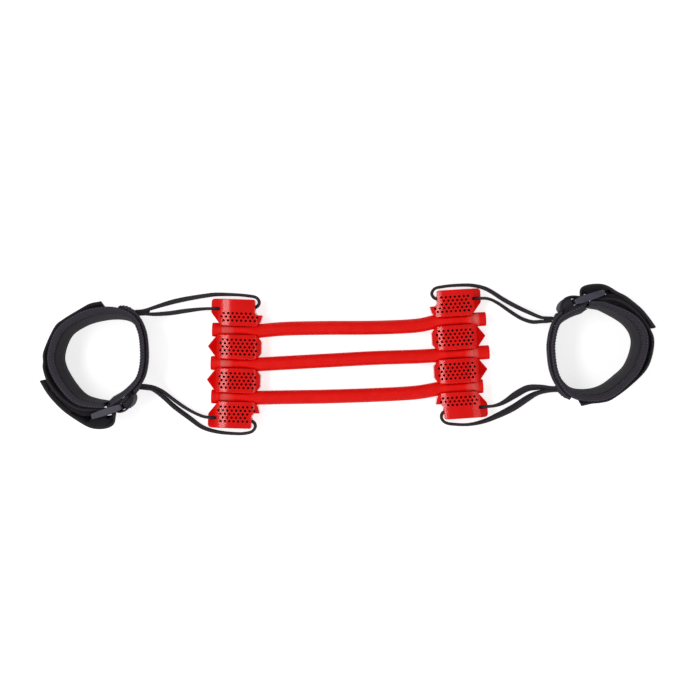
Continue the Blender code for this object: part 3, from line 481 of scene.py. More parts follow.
# u, how far out past the holder's end, height, and tilt from standing on edge (0) to flat (90)
CORD_ROUTES = {
    "left_upper": (
        (-101.6, -18.9, 22, 0), (-94, -18.4, 21, 0), (-83.7, -18.2, 16, 12),
        (-68.9, -16.4, 7, 20), (-56, -14, 5.4, 20), (-43, -12, 7.4, 12),
        (-30.5, -10.7, 13.4, 2), (-22, -10.5, 14, 0), (-8, -10.4, 14, 0),
        (8, -9.8, 14, 0), (17.5, -8.8, 14, 0), (22.6, -6.4, 14, 0), (24.2, -2, 14, 0),
        (21, 2.4, 14, 0), (14, 3.9, 13.6, 0), (-0.3, 4.8, 13, 0), (-20.3, 4.6, 11, 8),
        (-33, 2.9, 8, 12), (-46.4, 0.4, 5.8, 16), (-58, -2.2, 5.8, 20),
        (-69.2, -5.4, 9, 18), (-82, -10.2, 16.5, 8), (-94, -14.6, 21, 0),
        (-104.8, -16.2, 22, 0),
    ),
    "left_lower": (
        (-95.1, -41.6, 22, 0), (-89.6, -41.4, 21, 0), (-82.6, -40, 17, -8),
        (-73.7, -35.6, 10, -12), (-63, -27.6, 5.8, -12), (-50.5, -19.4, 5.6, -10),
        (-38.5, -13.6, 9.6, -5), (-29, -10.7, 13.8, -1), (-22, -10.5, 14, 0),
        (-8, -10.4, 14, 0), (8, -9.8, 14, 0), (17.5, -8.8, 14, 0), (22.6, -6.4, 14, 0),
        (24.2, -2, 14, 0), (21.2, 2.8, 14, 0), (14, 5.2, 13.6, 0), (4, 5.9, 13, 0),
        (-14.4, 4.8, 11.8, -5), (-31, 0.6, 8.2, -12), (-45.6, -8.8, 5.8, -18),
        (-61.3, -19.8, 6.4, -18), (-73.4, -30.6, 12.6, -12), (-83, -37.2, 18.6, -4),
        (-89.4, -38.3, 21.4, 0), (-96.5, -38.7, 22, 0),
    ),
    "right_upper": (
        (-96.5, -38.7, 22, 0), (-91.6, -39.1, 20.6, 0), (-86, -38.8, 17, -8),
        (-77, -38.2, 9.8, -12), (-66.4, -33.6, 5.8, -12), (-54.8, -25.2, 5.6, -12),
        (-43.4, -16.6, 9, -8), (-33.6, -11.6, 13.4, -3), (-24, -10.5, 14, 0),
        (-8, -10.4, 14, 0), (8, -10, 14, 0), (17.5, -9.2, 14, 0),
        (23, -7, 14, 0), (25.2, -2.2, 14, 0), (21.6, 2.6, 14, 0), (14, 4, 13.6, 0),
        (2.6, 4.6, 13.4, 0), (-14, 4, 12.6, -3), (-26, 1.4, 11, -6),
        (-35.6, -3, 8, -10), (-49.3, -12.8, 5.8, -12), (-61.6, -20.7, 6.4, -12),
        (-73.5, -27.8, 13, -8), (-85.4, -34, 18.6, -3), (-91.6, -35.2, 21.2, 0),
        (-97.9, -35.8, 22, 0),
    ),
    "right_lower": (
        (-98.1, -25.9, 22, 0), (-91.5, -26.2, 19.6, 8), (-81.3, -27.2, 11.6, 30),
        (-68.8, -26.6, 5.6, 45), (-55.8, -20.6, 4.8, 48), (-43.6, -14, 7.4, 25),
        (-33.4, -11, 12.8, 6), (-24, -10.5, 14, 0), (-8, -10.4, 14, 0),
        (8, -10, 14, 0), (17.5, -9, 14, 0), (22.4, -6, 14, 0), (23, -1, 14, 0),
        (19.4, 3.4, 14, 0), (11.6, 5.6, 13.6, 0), (-4.3, 7, 13, 0), (-20.5, 4.8, 11, 14),
        (-37, -0.6, 6.6, 32), (-53.4, -7.6, 5.2, 42), (-68.2, -16.2, 6.6, 38),
        (-79, -21.4, 13.4, 18), (-90, -22.9, 19.6, 4), (-99.6, -22.8, 22, 0),
    ),
}
CORD_SIGNS = {"left_upper": 1, "left_lower": -1, "right_upper": -1, "right_lower": 1}


def cord_frames(name):
    """The cord's centreline, and the place, broad way and thin way of its section at each step."""
    side = name.split("_")[0]
    place = placed(*HOLDERS[side])
    stations = spline(CORD_ROUTES[name], CORD_STEPS)
    line = []
    for u, past_end, z, _ in stations:
        v = CORD_SIGNS[name] * (HOLDER_HALF_LENGTH + past_end)
        line.append(place @ Vector((u * mm, v * mm, z * mm)))
    frames = []
    for k, point in enumerate(line):
        ahead = (line[min(k + 1, len(line) - 1)] - line[max(k - 1, 0)]).normalized()
        level = Vector((ahead.y, -ahead.x, 0)).normalized()
        up = level.cross(ahead).normalized()
        tilt = radians(stations[k][3])
        broad = up * cos(tilt) + level * sin(tilt)
        thin = ahead.cross(broad).normalized()
        frames.append((point, broad, thin))
    return line, frames


def ribbed_rings(frames):
    """Sections taken closely along a cord, thicker at each of its cross ribs."""
    rings = []
    for a, b in zip(frames, frames[1:]):
        count = max(1, round((b[0] - a[0]).length / mm / (CORD_RIB / 4)))
        for k in range(count):
            point, broad, thin = (p + (q - p) * (k / count) for p, q in zip(a, b))
            swell = CORD_RIB_SWELL * sin(pi / 2 * len(rings))
            section = rounded_section(CORD_WIDTH, CORD_THICKNESS + swell)
            rings.append([point + (broad * x + thin * y) * mm for x, y in section])
    return rings


def make_cord(name, frames):
    cord = strip(f"{name}_webbing", ribbed_rings(frames))
    dress(cord, CORD_WEBBING, "black_webbing", node=f"{name}_cord")
    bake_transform(cord)


def make_junction(name, line):
    """The last stretch before the cuff, where both legs of a cord are sewn together."""
    rings = []
    for k in range(JUNCTION_STEPS + 1):
        a, b = line[k], line[-1 - k]
        level = (b - a).to_2d().normalized().to_3d()
        share = JUNCTION_END + (1 - JUNCTION_END) * sqrt(1 - (k / JUNCTION_STEPS) ** 2)
        thick = (b - a).length / mm + CORD_THICKNESS * 0.9
        width = (CORD_WIDTH - JUNCTION_INSET) * share
        section = rounded_section(width, min(thick * share, CORD_WIDTH * share * 0.9))
        rings.append([(a + b) / 2 + (Vector((0, 0, h)) + level * t) * mm for h, t in section])
    junction = strip(f"{name}_sewn_junction", rings)
    dress(junction, CORD_WEBBING, "black_webbing", f"{name.split('_')[0]}_cuff")


for cord_name in CORD_ROUTES:
    cord_line, sections = cord_frames(cord_name)
    make_cord(cord_name, sections)
    make_junction(cord_name, cord_line)


# Tubes: squeezed in the holders' grooves, swollen outside them
TUBE_DIAMETER = 14.6
TUBE_BORE = 8.0
TUBE_AXIS_Z = 14.5
# How far a cut tube's rim is rounded in, and over what length
TUBE_RIM, TUBE_RIM_LENGTH = 0.55, 0.7
GROOVE_PITCH = 34.8
# Half width and half height of a squeezed tube
PINCH = (4.3, 8.4)
NECK_U = -13.0
NECK_LENGTH = 2.4
FLARE_U = (13.5, 25.0)
# How far out of its holder's middle each tube ends, left and right
TUBE_ENDS = ((23.6, 29.2), (24.0, 30.6), (22.4, 21.9))
TUBE_SIDES = 40
# Where each tube runs between the holders: x and y of its middle line
TUBE_PATHS = (
    ((-65.8, 27.1), (-24.1, 28.0), (27.9, 28.3), (69.6, 30.2)),
    ((-65.8, -8.4), (-24.1, -6.1), (27.9, -3.3), (69.6, -1.9)),
    ((-65.8, -44.2), (-24.1, -43.5), (27.9, -41.8), (69.6, -39.4)),
)


def eased(t):
    t = min(1, max(0, t))
    return t * t * (3 - 2 * t)


def pinch_share(u):
    """How far the tube is squeezed at a place across its holder, from 0 to 1."""
    if u <= FLARE_U[0]:
        return eased((u - NECK_U + NECK_LENGTH) / (NECK_LENGTH - 0.3))
    return 1 - eased((u - FLARE_U[0]) / (FLARE_U[1] - FLARE_U[0]))


def tube_stops(reach):
    """Places across a holder at which a tube's section is taken, closer where it changes."""
    stops = [-reach + TUBE_RIM_LENGTH / 2 * k for k in (0, 1, 2)]
    stops += [-reach + 1.6 + (reach - 16.6) * k / 4 for k in range(5)]
    stops += [NECK_U - NECK_LENGTH + NECK_LENGTH * k / 6 for k in range(1, 7)]
    stops += [NECK_U + (FLARE_U[0] - NECK_U) * k / 6 for k in range(1, 7)]
    stops += [FLARE_U[0] + (FLARE_U[1] - FLARE_U[0]) * k / 10 for k in range(1, 11)]
    return sorted(set(stops))


def tube_stations(number):
    """Place, level side direction and half sizes at each station from left end to right end, in metres."""
    v = GROOVE_PITCH * (1 - number)
    radius = TUBE_DIAMETER / 2
    halves = []
    for side, sign, reach in zip(("left", "right"), (1, -1), TUBE_ENDS[number]):
        place = placed(*HOLDERS[side])
        level = (place.to_3x3() @ Vector((0, sign, 0))).normalized()
        half = []
        for u in tube_stops(reach):
            share = pinch_share(u)
            edge = TUBE_RIM * max(0, 1 - (u + reach) / TUBE_RIM_LENGTH) ** 2
            wide, high = (radius + (squeezed - radius) * share - edge for squeezed in PINCH)
            centre = place @ Vector((u * mm, v * sign * mm, TUBE_AXIS_Z * mm))
            half.append((centre, level, wide * mm, high * mm))
        halves.append(half)
    between = [Vector((x * mm, y * mm, TUBE_AXIS_Z * mm)) for x, y in TUBE_PATHS[number]]
    left, right = ([half[k][0] for k in (-5, -1)] for half in halves)
    smooth = spline([*left, *between, *right[::-1]], 8)[8:-8]
    middle = []
    for before, centre, after in zip(smooth, smooth[1:], smooth[2:]):
        ahead = after - before
        level = Vector((-ahead.y, ahead.x, 0)).normalized()
        middle.append((centre, level, radius * mm, radius * mm))
    return halves[0] + middle + halves[1][::-1]


def make_tube(number):
    wall = (TUBE_DIAMETER - TUBE_BORE) / 2 * mm
    outer, inner = [], []
    for centre, level, wide, high in tube_stations(number):
        # A squeezed tube's section is squarer than an ellipse
        square = 1 - 0.45 * min(1, max(0, (TUBE_DIAMETER / 2 - wide / mm) / 2.8))
        for rings, thinner in ((outer, 0), (inner, wall)):
            ring = []
            for k in range(TUBE_SIDES):
                angle = 2 * pi * k / TUBE_SIDES
                out, up = (abs(f(angle)) ** square * (1 if f(angle) > 0 else -1) for f in (cos, sin))
                side = level * (wide - thinner) * out
                ring.append(centre + side + Vector((0, 0, (high - thinner) * up)))
            rings.append(ring)
    rings = [*outer, *inner[::-1], outer[0]]
    tube = strip(f"latex_tube_{number + 1}", rings, closed=True)
    with edit_mode(tube):
        bpy.ops.mesh.remove_doubles(threshold=0.01 * mm)
        bpy.ops.mesh.normals_make_consistent(inside=False)
    dress(tube, LATEX, "red_latex", node=f"tube_{number + 1}")
    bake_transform(tube)


for tube_number in range(3):
    make_tube(tube_number)


# Holders: a moulded shell of four perforated pods, modelled once and laid down twice
POD_OUTER, POD_INNER = -28.2, 28.2
POD_HALF = 13.0
POD_SHOULDER, POD_BREAK = -17.5, 23.1
NOSE_HALF = 6.0
CROWN_RADIUS, CROWN_U, CROWN_TOP = 60.0, 3.0, 26.0
CROWN_SIDES = 144
# The slopes beyond the crown: how far each runs out, and the height it comes down to
OUTER_SLOPE, INNER_SLOPE = (11.7, 13), (6.1, 18)
POD_EDGE = 1.3
SHELL_LOW = 2.8
SHELL_WALL = 2.0
SADDLE_U, SADDLE_TOP = (-15, 20), 5.5
END_START = 39.2
END_SHOULDER, END_EDGE = (-16, 41.3), (-25.3, 52.5)
HORN = ((23.1, 39.2), (26.6, 44.0), (28.4, 51.0))
NOTCH = 20.5
CORNER_ROUNDING = 3.5
# Hollows: u from end to end, and v from a pod's middle or from the holder's
HOLLOW_U, HOLLOW_HALF = (-16, 24.4), 8.5
END_HOLLOW_U, END_HOLLOW_V, END_HOLLOW_WIDE_V = (-14.4, 18.5), (43.7, 63.5), (43.7, 49.8)
HOLLOW_LOW, CLEAR_ABOVE = 1, 40
GROOVE_PLAY = 0.3
GROOVE_NECK_RADIUS = 4.4
GROOVE_FLARE = 9.6
GROOVE_SIDES = 48
CORD_SLOT_V, CORD_SLOT_WIDTH = 56.5, 3.6
CORD_SLOT_U, CORD_SLOT_Z = (-33, -15.5), (8.8, 19.2)
CORD_TUNNEL_U = -11.5
CORD_WINDOW_U, CORD_WINDOW_V = (16.5, 29.4), (55.6, 61.6)
HOLE_DIAMETER = 2.5
HOLE_PITCH = 4.6
HOLE_ROW_PITCH = 3.7
HOLE_CENTRE_U = 4.5
HOLES_IN_ROW = 8
HOLE_DEPTH, HOLE_SIDES = 11, 16
ROWS_ON_A_POD = 5
# Holes missing at the outer and inner end of each row: on the first end pod, and on the last
FIRST_POD_ROWS = ((0, 0), (0, 0), (0, 1), (1, 2), (0, 1))
LAST_POD_ROWS = ((0, 0), (0, 0), (0, 1))
SCREW_PLACE = (-19.5, 62.6, 6)
SCREW_RADIUS, SCREW_DEPTH = 1.55, 10


def add_box(low, high):
    """A block between two corners in millimetres."""
    choose()
    middle = [(a + b) / 2 * mm for a, b in zip(low, high)]
    size = [(b - a) * mm for a, b in zip(low, high)]
    bpy.ops.mesh.primitive_cube_add(size=1, location=middle, scale=size)
    bpy.ops.object.transform_apply()
    return bpy.context.object


def add_cone(start, end, depth, middle, sides, rotation=(0, 0, 0)):
    """A cylinder or cone of two radii, in millimetres."""
    choose()
    bpy.ops.mesh.primitive_cone_add(
        vertices=sides,
        radius1=start * mm,
        radius2=end * mm,
        depth=depth * mm,
        location=[c * mm for c in middle],
        rotation=rotation,
    )
    bpy.ops.object.transform_apply()
    return bpy.context.object


def trim(piece, place, normal):
    """Cuts off what lies past a plane, and closes the cut."""
    at = [c * mm for c in place]
    facing = Vector(normal).normalized()
    with edit_mode(piece):
        bpy.ops.mesh.bisect(plane_co=at, plane_no=facing, use_fill=True, clear_outer=True)


def round_edges(piece, wanted, width, segments):
    """Bevels the edges for which wanted(first end, second end, angle) holds, in millimetres and degrees."""
    with edit_mode(piece, "DESELECT"):
        bpy.ops.mesh.select_mode(type="EDGE")
        shape = bmesh.from_edit_mesh(piece.data)
        for edge in shape.edges:
            a, b = (vert.co / mm for vert in edge.verts)
            angle = edge.calc_face_angle(0) * 180 / pi
            edge.select_set(bool(wanted(a, b, angle)))
        bmesh.update_edit_mesh(piece.data)
        bpy.ops.mesh.bevel(offset=width * mm, segments=segments, affect="EDGES", clamp_overlap=True)


def round_upright(piece, u, v, width, segments=6):
    """Rounds the upright edge that stands at a place."""

    def stands_there(a, b, _):
        return max(abs(a.x - u), abs(a.y - v), abs(b.x - u), abs(b.y - v)) < 0.4

    round_edges(piece, stands_there, width, segments)


def crown_block(radius):
    """The room under a crown of this radius, above the floor."""
    middle = (CROWN_U, 0, CROWN_TOP - CROWN_RADIUS)
    block = add_cone(radius, radius, 150, middle, CROWN_SIDES, (pi / 2, 0, 0))
    trim(block, (0, 0, 0), (0, 0, -1))
    return block


def crown(u):
    return CROWN_TOP - CROWN_RADIUS + sqrt(CROWN_RADIUS**2 - (u - CROWN_U) ** 2)


def crowned(pod):
    """Gives a pod block its crowned top and slopes, and softens its edges."""
    block = crown_block(CROWN_RADIUS)
    shoulder, brow = crown(POD_SHOULDER), crown(POD_BREAK)
    trim(block, (POD_SHOULDER, 0, shoulder), (OUTER_SLOPE[1] - shoulder, 0, OUTER_SLOPE[0]))
    trim(block, (POD_BREAK, 0, brow), (brow - INNER_SLOPE[1], 0, INNER_SLOPE[0]))
    cut(pod, block, "INTERSECT")
    # The cuts leave corners within a tenth of a millimetre, and split faces
    with edit_mode(pod):
        bpy.ops.mesh.remove_doubles(threshold=0.1 * mm)
        bpy.ops.mesh.dissolve_limited(angle_limit=radians(0.5))
    low = SHELL_LOW + 0.3
    round_edges(pod, lambda a, b, angle: max(a.z, b.z) > low and angle > 16, POD_EDGE, 4)
    return pod


def middle_pod(v):
    pod = add_box((POD_OUTER, v - POD_HALF, SHELL_LOW), (POD_INNER, v + POD_HALF, CROWN_TOP + 2))
    nose = POD_INNER - POD_BREAK
    for side in (-1, 1):
        trim(pod, (POD_OUTER, v, 0), (-POD_HALF, side * (POD_SHOULDER - POD_OUTER), 0))
        trim(pod, (POD_BREAK, v + side * POD_HALF, 0), (POD_HALF - NOSE_HALF, side * nose, 0))
    return crowned(pod)


def end_pod():
    """The pod at a holder's upper end, with its cut-away corner for the cord."""
    end = HOLDER_HALF_LENGTH
    notch_v = HORN[2][1]
    pod = add_box((END_EDGE[0], END_START, SHELL_LOW), (HORN[2][0] + 2, end, CROWN_TOP + 2))
    chamfer = (END_SHOULDER[1] - END_EDGE[1], END_EDGE[0] - END_SHOULDER[0], 0)
    trim(pod, (*END_SHOULDER, 0), chamfer)
    for (u, v), (next_u, next_v) in zip(HORN, HORN[1:]):
        trim(pod, (u, v, 0), (next_v - v, u - next_u, 0))
    corner = add_box((NOTCH, notch_v, 0), (NOTCH + 20, end + 10, CLEAR_ABOVE))
    round_upright(corner, NOTCH, notch_v, CORNER_ROUNDING)
    cut(pod, corner)
    round_upright(pod, END_EDGE[0], end, CORNER_ROUNDING)
    round_upright(pod, NOTCH, end, 2.0)
    round_upright(pod, *END_EDGE, 1.5, 4)
    return crowned(pod)


def hole_places():
    """The middle of each hole: full rows on the middle pods, shortened ones on the end pods."""
    rows = []
    first = -HOLE_ROW_PITCH * 2
    for centre in (-GROOVE_PITCH / 2, GROOVE_PITCH / 2):
        rows += [(centre + first + HOLE_ROW_PITCH * k, k, 0, 0) for k in range(ROWS_ON_A_POD)]
    for side, shortened in ((-1, FIRST_POD_ROWS), (1, LAST_POD_ROWS)):
        start = END_START + POD_HALF + first
        rows += [(side * (start + HOLE_ROW_PITCH * k), k, *missing) for k, missing in enumerate(shortened)]
    places = []
    for v, number, outer_missing, inner_missing in rows:
        count = HOLES_IN_ROW + number % 2
        for k in range(outer_missing, count - inner_missing):
            places.append((HOLE_CENTRE_U + HOLE_PITCH * (k - (count - 1) / 2), v))
    return places


def room(u, v, z, side=1):
    """A block over ranges of u, v and z, with v counted towards one end of the holder."""
    v = sorted(side * place for place in v)
    return add_box(*zip(u, v, z))


def hollow_out(shell):
    """Cuts the pods' hollows, open below and a wall's thickness under the crown."""
    heights = (HOLLOW_LOW, CLEAR_ABOVE)
    rooms = []
    for v in (-GROOVE_PITCH / 2, GROOVE_PITCH / 2):
        rooms.append(room(HOLLOW_U, (v - HOLLOW_HALF, v + HOLLOW_HALF), heights))
    for side in (-1, 1):
        deep = room(END_HOLLOW_U, END_HOLLOW_V, heights, side)
        wide = room((0, HOLLOW_U[1]), END_HOLLOW_WIDE_V, heights, side)
        rooms.append(cut(deep, wide, "UNION"))
    hollow = join(*rooms)
    cut(hollow, crown_block(CROWN_RADIUS - SHELL_WALL), "INTERSECT")
    cut(shell, hollow)


def pierce(shell):
    """Drills the perforation with one joined tool."""
    radius = HOLE_DIAMETER / 2
    drill = add_cone(radius, radius, HOLE_DEPTH, (0, 0, CROWN_TOP - 4.5), HOLE_SIDES)
    drills = [copied(drill, Matrix.Translation((u * mm, v * mm, 0))) for u, v in hole_places()]
    bpy.data.objects.remove(drill, do_unlink=True)
    cut(shell, join(*drills))


def cut_grooves(shell):
    """Cuts each tube groove: a pocket outside the neck, and a flare and a pocket inside it."""
    pocket = TUBE_DIAMETER / 2 + GROOVE_PLAY
    flare = FLARE_U[0] - GROOVE_FLARE / 2
    steps = (
        (pocket, 20, NECK_U - 10),
        (GROOVE_NECK_RADIUS, GROOVE_FLARE, flare + GROOVE_FLARE / 2),
        (pocket, 16, flare + GROOVE_FLARE + 8),
    )
    for groove in (-GROOVE_PITCH, 0, GROOVE_PITCH):
        for start, depth, u in steps:
            middle = (u, groove, TUBE_AXIS_Z)
            cut(shell, add_cone(start, pocket, depth, middle, GROOVE_SIDES, (0, pi / 2, 0)))


def cut_cord_slots(shell):
    """Cuts the open slot, the tunnel behind it and the window towards the middle, on both end pods."""
    half = CORD_SLOT_WIDTH / 2
    for side in (-1, 1):
        v = side * CORD_SLOT_V
        sides = (v - half, v + half)
        slot = room(CORD_SLOT_U, sides, (CORD_SLOT_Z[0], CLEAR_ABOVE))
        for edge in sides:
            round_upright(slot, CORD_SLOT_U[1], edge, half * 0.9)
        cut(shell, slot)
        cut(shell, room((CORD_SLOT_U[0], CORD_TUNNEL_U), sides, CORD_SLOT_Z))
        cut(shell, room(CORD_WINDOW_U, CORD_WINDOW_V, CORD_SLOT_Z, side))


def front_shell():
    last = end_pod()
    first = copied(last, Matrix.Scale(-1, 4, (0, 1, 0)))
    with edit_mode(first):
        bpy.ops.mesh.normals_make_consistent(inside=False)
    reach = END_START + 3.5
    shell = room(SADDLE_U, (-reach, reach), (SHELL_LOW, SADDLE_TOP))
    for pod in (first, middle_pod(-GROOVE_PITCH / 2), middle_pod(GROOVE_PITCH / 2), last):
        cut(shell, pod, "UNION")
    cut_grooves(shell)
    cut_cord_slots(shell)
    hollow_out(shell)
    u, v, z = SCREW_PLACE
    for side in (-1, 1):
        cut(shell, add_cone(SCREW_RADIUS, SCREW_RADIUS, SCREW_DEPTH, (u, side * v, z), 20))
    pierce(shell)
    return shell


def lay_down(source, places, name, material, slot, body, node, angle):
    """Copies a moulding to both sides, shaded smooth with its broad faces even beside their bevels."""
    for side, place in places.items():
        piece = copied(source, place)
        piece.name = piece.data.name = f"{side}_{name}"
        piece.data.materials.clear()
        dress(piece, material, slot, f"{side}_{body}", f"{side}_{node}")
        choose(piece)
        bpy.ops.object.shade_smooth_by_angle(angle=radians(angle))
        even = piece.modifiers.new("even", "WEIGHTED_NORMAL")
        even.keep_sharp = True
        apply_modifiers(piece)
    bpy.data.objects.remove(source, do_unlink=True)


holder_places = {side: placed(*HOLDERS[side]) for side in HOLDERS}
finish = (RED_ABS, "glossy_red_abs", "holder", "front_shell")
lay_down(front_shell(), holder_places, "moulded_shell", *finish, 32)


# Cuffs: each stands on its lower edge, and its top leans out. Inner outline from the ring's end round
# to the other end: x, y, thickness of the pad, and how far its top leans out
CUFF_HEIGHT = 50.0
CUFF_OUTLINES = {
    "left": (
        (10.9, -38.2, 5.8, 4), (23, -30.6, 4.5, 4.5), (35.2, -17.4, 4.5, 5),
        (39.6, -3, 4.5, 5), (39.7, 14.6, 4.5, 5), (37.4, 28.6, 4.5, 5),
        (30.5, 39.2, 5, 5.5), (15.8, 42.3, 6, 6.5), (-2.7, 40.1, 7, 6.5),
        (-18.2, 34.7, 7, 5.5), (-32, 24.7, 7, 4.5), (-39, 7, 7, 4),
        (-37.6, -6.6, 7, 4.2), (-28.4, -22.8, 6.5, 4.8), (-17.4, -35.2, 6, 4.4),
        (-5.8, -40, 5.6, 3), (8.6, -42.6, 5.2, 1.4),
    ),
    "right": (
        (12.8, -36.6, 5.8, 3.5), (26, -31.4, 4.5, 4), (36, -23.4, 4.5, 5),
        (40.7, -6.5, 4.5, 5), (40.5, 8, 4.5, 5), (38.3, 21.2, 4.5, 5),
        (33.8, 31.2, 4.5, 5), (24, 40.6, 5.5, 5.5), (8.8, 42.3, 6, 6.5),
        (-6, 38.6, 7, 6.5), (-19.6, 28.9, 7, 5.5), (-32.4, 15.6, 7, 4.4),
        (-38.9, -7.4, 7, 4), (-30.4, -24.6, 6.5, 4.5), (-7.6, -38.6, 5, 3),
        (3, -41.4, 5.2, 2), (11.2, -42.4, 4.9, 1.2),
    ),
}
# Strap on the pad: halves of the outline's steps, and how far its upper edge stands off the pad
STRAP_ON_PAD = {
    "left": ((15, 4.2), (16, 3.6), (17, 1.6), (19, 0.9), (20, 1.5), (22, 3), (23, 3.2)),
    "right": ((15, 3.6), (16, 0.3), (17, 0.1), (18, 0.3), (20, 1), (22, 3.4), (23, 4.6)),
}
ANCHOR_ON_PAD = {"left": (3, 13), "right": (3, 14)}
# The strap's lower and upper edges from the pad through the ring and back, and those of its tail
STRAP_TO_RING = (
    (-45.6, -20, -50.6, -21.4), (-39.6, -29.6, -43.2, -31.9), (-32.6, -37.4, -35.2, -40.2),
    (-24.4, -43.8, -25.9, -46.9), (-15.8, -48.2, -16.4, -50.4), (-9, -50, -9, -51),
    (-2.5, -50.4, -2.5, -50.6), (4.2, -51, 4.2, -51),
)
STRAP_LOOPS = {
    "left": (
        (-50.4, -8.5, -54.6, -8.8), *STRAP_TO_RING, (9.4, -52.6, 10.2, -52.6),
        (12.8, -54.4, 15.8, -54.6), (13.6, -56.2, 17.8, -59), (12, -57.6, 17, -64.4),
        (9.2, -58.8, 12.4, -68.2), (3, -60.6, 4.6, -69.8), (-3.4, -61.8, -3, -69.4),
        (-9.2, -59.6, -9.6, -67.4),
    ),
    "right": (
        (-50.8, -8.5, -55.4, -8.9), *STRAP_TO_RING, (9.6, -52.2, 11.4, -51.8),
        (13.2, -53.4, 17, -53), (14, -55.4, 19.2, -57), (12.2, -57.2, 18, -61.6),
        (9.2, -58.6, 12.8, -64.2), (3, -60.4, 4.6, -65.4), (-3.4, -61.6, -3, -65),
        (-9.2, -59.4, -9.6, -62.8),
    ),
}
STRAP_TAILS = {
    "left": (
        (-9.1, -59.6, -9.5, -67.4), (-16.3, -56.4, -18.6, -62.2), (-25, -53, -28.4, -55.6),
        (-32.6, -46.8, -35.6, -49.9), (-40.4, -39.4, -43.9, -41.6), (-47, -31.2, -51, -32.8),
        (-54.2, -19.8, -58, -21),
    ),
    "right": (
        (-9.1, -59.4, -9.5, -62.8), (-16.9, -55.8, -18.2, -57.4), (-24.6, -51.4, -26.6, -53.2),
        (-32, -45.4, -34.4, -47.4), (-39.8, -38.2, -43.2, -39.8), (-46.8, -30.2, -50.4, -31.2),
        (-53.8, -20.4, -57.4, -21.4),
    ),
}
# How deep the loop pile is at the second to ninth points of the strap's way round the ring
PILE_DEPTHS = {
    "left": (1.2, 1.4, 1.8, 3.4, 4.6, 4.8, 1.2, 1),
    "right": (1.2, 1.2, 1.4, 2.2, 3.2, 3.8, 1.8, 1.2),
}
RETURN_DEPTHS = {"left": (2, 7.6, 10.6, 10.4, 6.8, 5), "right": (2, 5.6, 7.4, 7, 2.8, 2.6)}
# What fills the keeper behind the ring: x and y of its middle, and its thickness
KEEPER_FILLS = {
    "left": ((27.2, -47, 8.4), (31.2, -43.4, 9), (34, -38.8, 6.8), (35.2, -34.8, 2)),
    "right": ((27.6, -48, 9.6), (32.6, -45.6, 10), (36.4, -41.2, 8), (36.8, -37.4, 2.4)),
}
PAD_END = ((31.6, -36.6), (28.2, -39.9), (24.2, -42), (20, -43.6), (15.6, -45.9), (10.6, -47.9))
# The ring's keeper: x and y, and how far the outer leg's lower edge comes in
KEEPERS = {
    "left": (
        (34.2, -33.1, 34.2, -33.1), (29.4, -39.2, 29.4, -39.2), (25.2, -43, 25.2, -43),
        (20, -44.4, 20, -44.4), (17.8, -48, 17.8, -48), (19, -52, 19, -52),
        (23.4, -52.8, 23.6, -53.2), (27.4, -49.8, 29, -51.4), (29.8, -45.4, 33.4, -47.4),
        (31.8, -40.4, 36.6, -41), (33.4, -36, 36, -34.8),
    ),
    "right": (
        (35.4, -35.9, 35.4, -35.9), (31.4, -40.6, 31.4, -40.6), (25.4, -43.2, 25.4, -43.2),
        (20, -44.4, 20, -44.4), (17.8, -48, 17.8, -48), (19, -52, 19, -52),
        (23.6, -52.8, 23.8, -53.4), (28.2, -50.4, 30.4, -53.2), (31.2, -46.8, 36.2, -50.4),
        (33.6, -42.6, 39.4, -44.4), (35.2, -38.8, 37.4, -37.8),
    ),
}
RING_PLACE = (23.5, -48.0, 19.0)
RING_LENGTH, RING_BAR, RING_RAIL = 32.5, 4.5, 4.0
RING_BELLY, RING_END = 7.0, 5.2
RING_Z = (0.5, 49.5)
RING_SLICES = 12
# The recesses in the ring's long faces: heights of the tools that cut them, and how wide and far in
RING_RECESSES = ((0, 0.8), (49.2, 50))
RECESS_WIDTH, RECESS_INSET = 3.0, 3
STRAP_THICKNESS = 2.4
STRAP_WIDTH = 38.0
STRAP_Z = (6, 44)
# The tail starts this many points before the end of the strap's way round the ring
TAIL_LEAD = 4
KEEPER_THICKNESS = 1.8
FACING_WIDTH, FACING_THICKNESS = 44, 3.2
ANCHOR_THICKNESS, ANCHOR_RIB, ANCHOR_RIB_SWELL = 3.8, 1.9, 0.035
# Where the cords' pads are sewn on, counted in the outline's steps
SEWN_PADS = {"left": ((2.2, 3.9), (11.6, 13.6)), "right": ((2.6, 4.2), (11.8, 14.2))}
SEWN_PAD_Z, SEWN_PAD_EDGE, SEWN_PAD_BULGE = (12, 33), 2.6, 3.4
SEWN_PAD_NEAR, SEWN_PAD_RIB, SEWN_PAD_RIB_SWELL = 4.6, 2.3, 0.03
PILE_Z, HOOK_DEPTH = (9, 41), 1.2
KEEPER_FILL_Z = (7, 42)
PAD_Z, PAD_FACE = (3.3, 46.7), 1.9
# A pad is sewn below the first of these heights and above the second, and swells between them
SEWN_EDGES = (6, 44)
PAD_VOXEL, PAD_SWELL = 1.6, 0.8
PAD_PRESSURE, CLOTH_FRAMES = 4, 20
TAPE_SOFT = 1.2
CUFF_STEPS = 6
STITCH, STITCH_PITCH, STITCH_THICK = 2.2, 3.1, 0.4
# Rows of stitches on each pad: share of its thickness, offset outwards, and height
STITCH_ROWS = {
    "rim_stitches": (1, -1.5, 50),
    "lower_rim_stitches": (1, 0, 2),
    "inner_rim_stitches": (0, 0, 48.2),
}


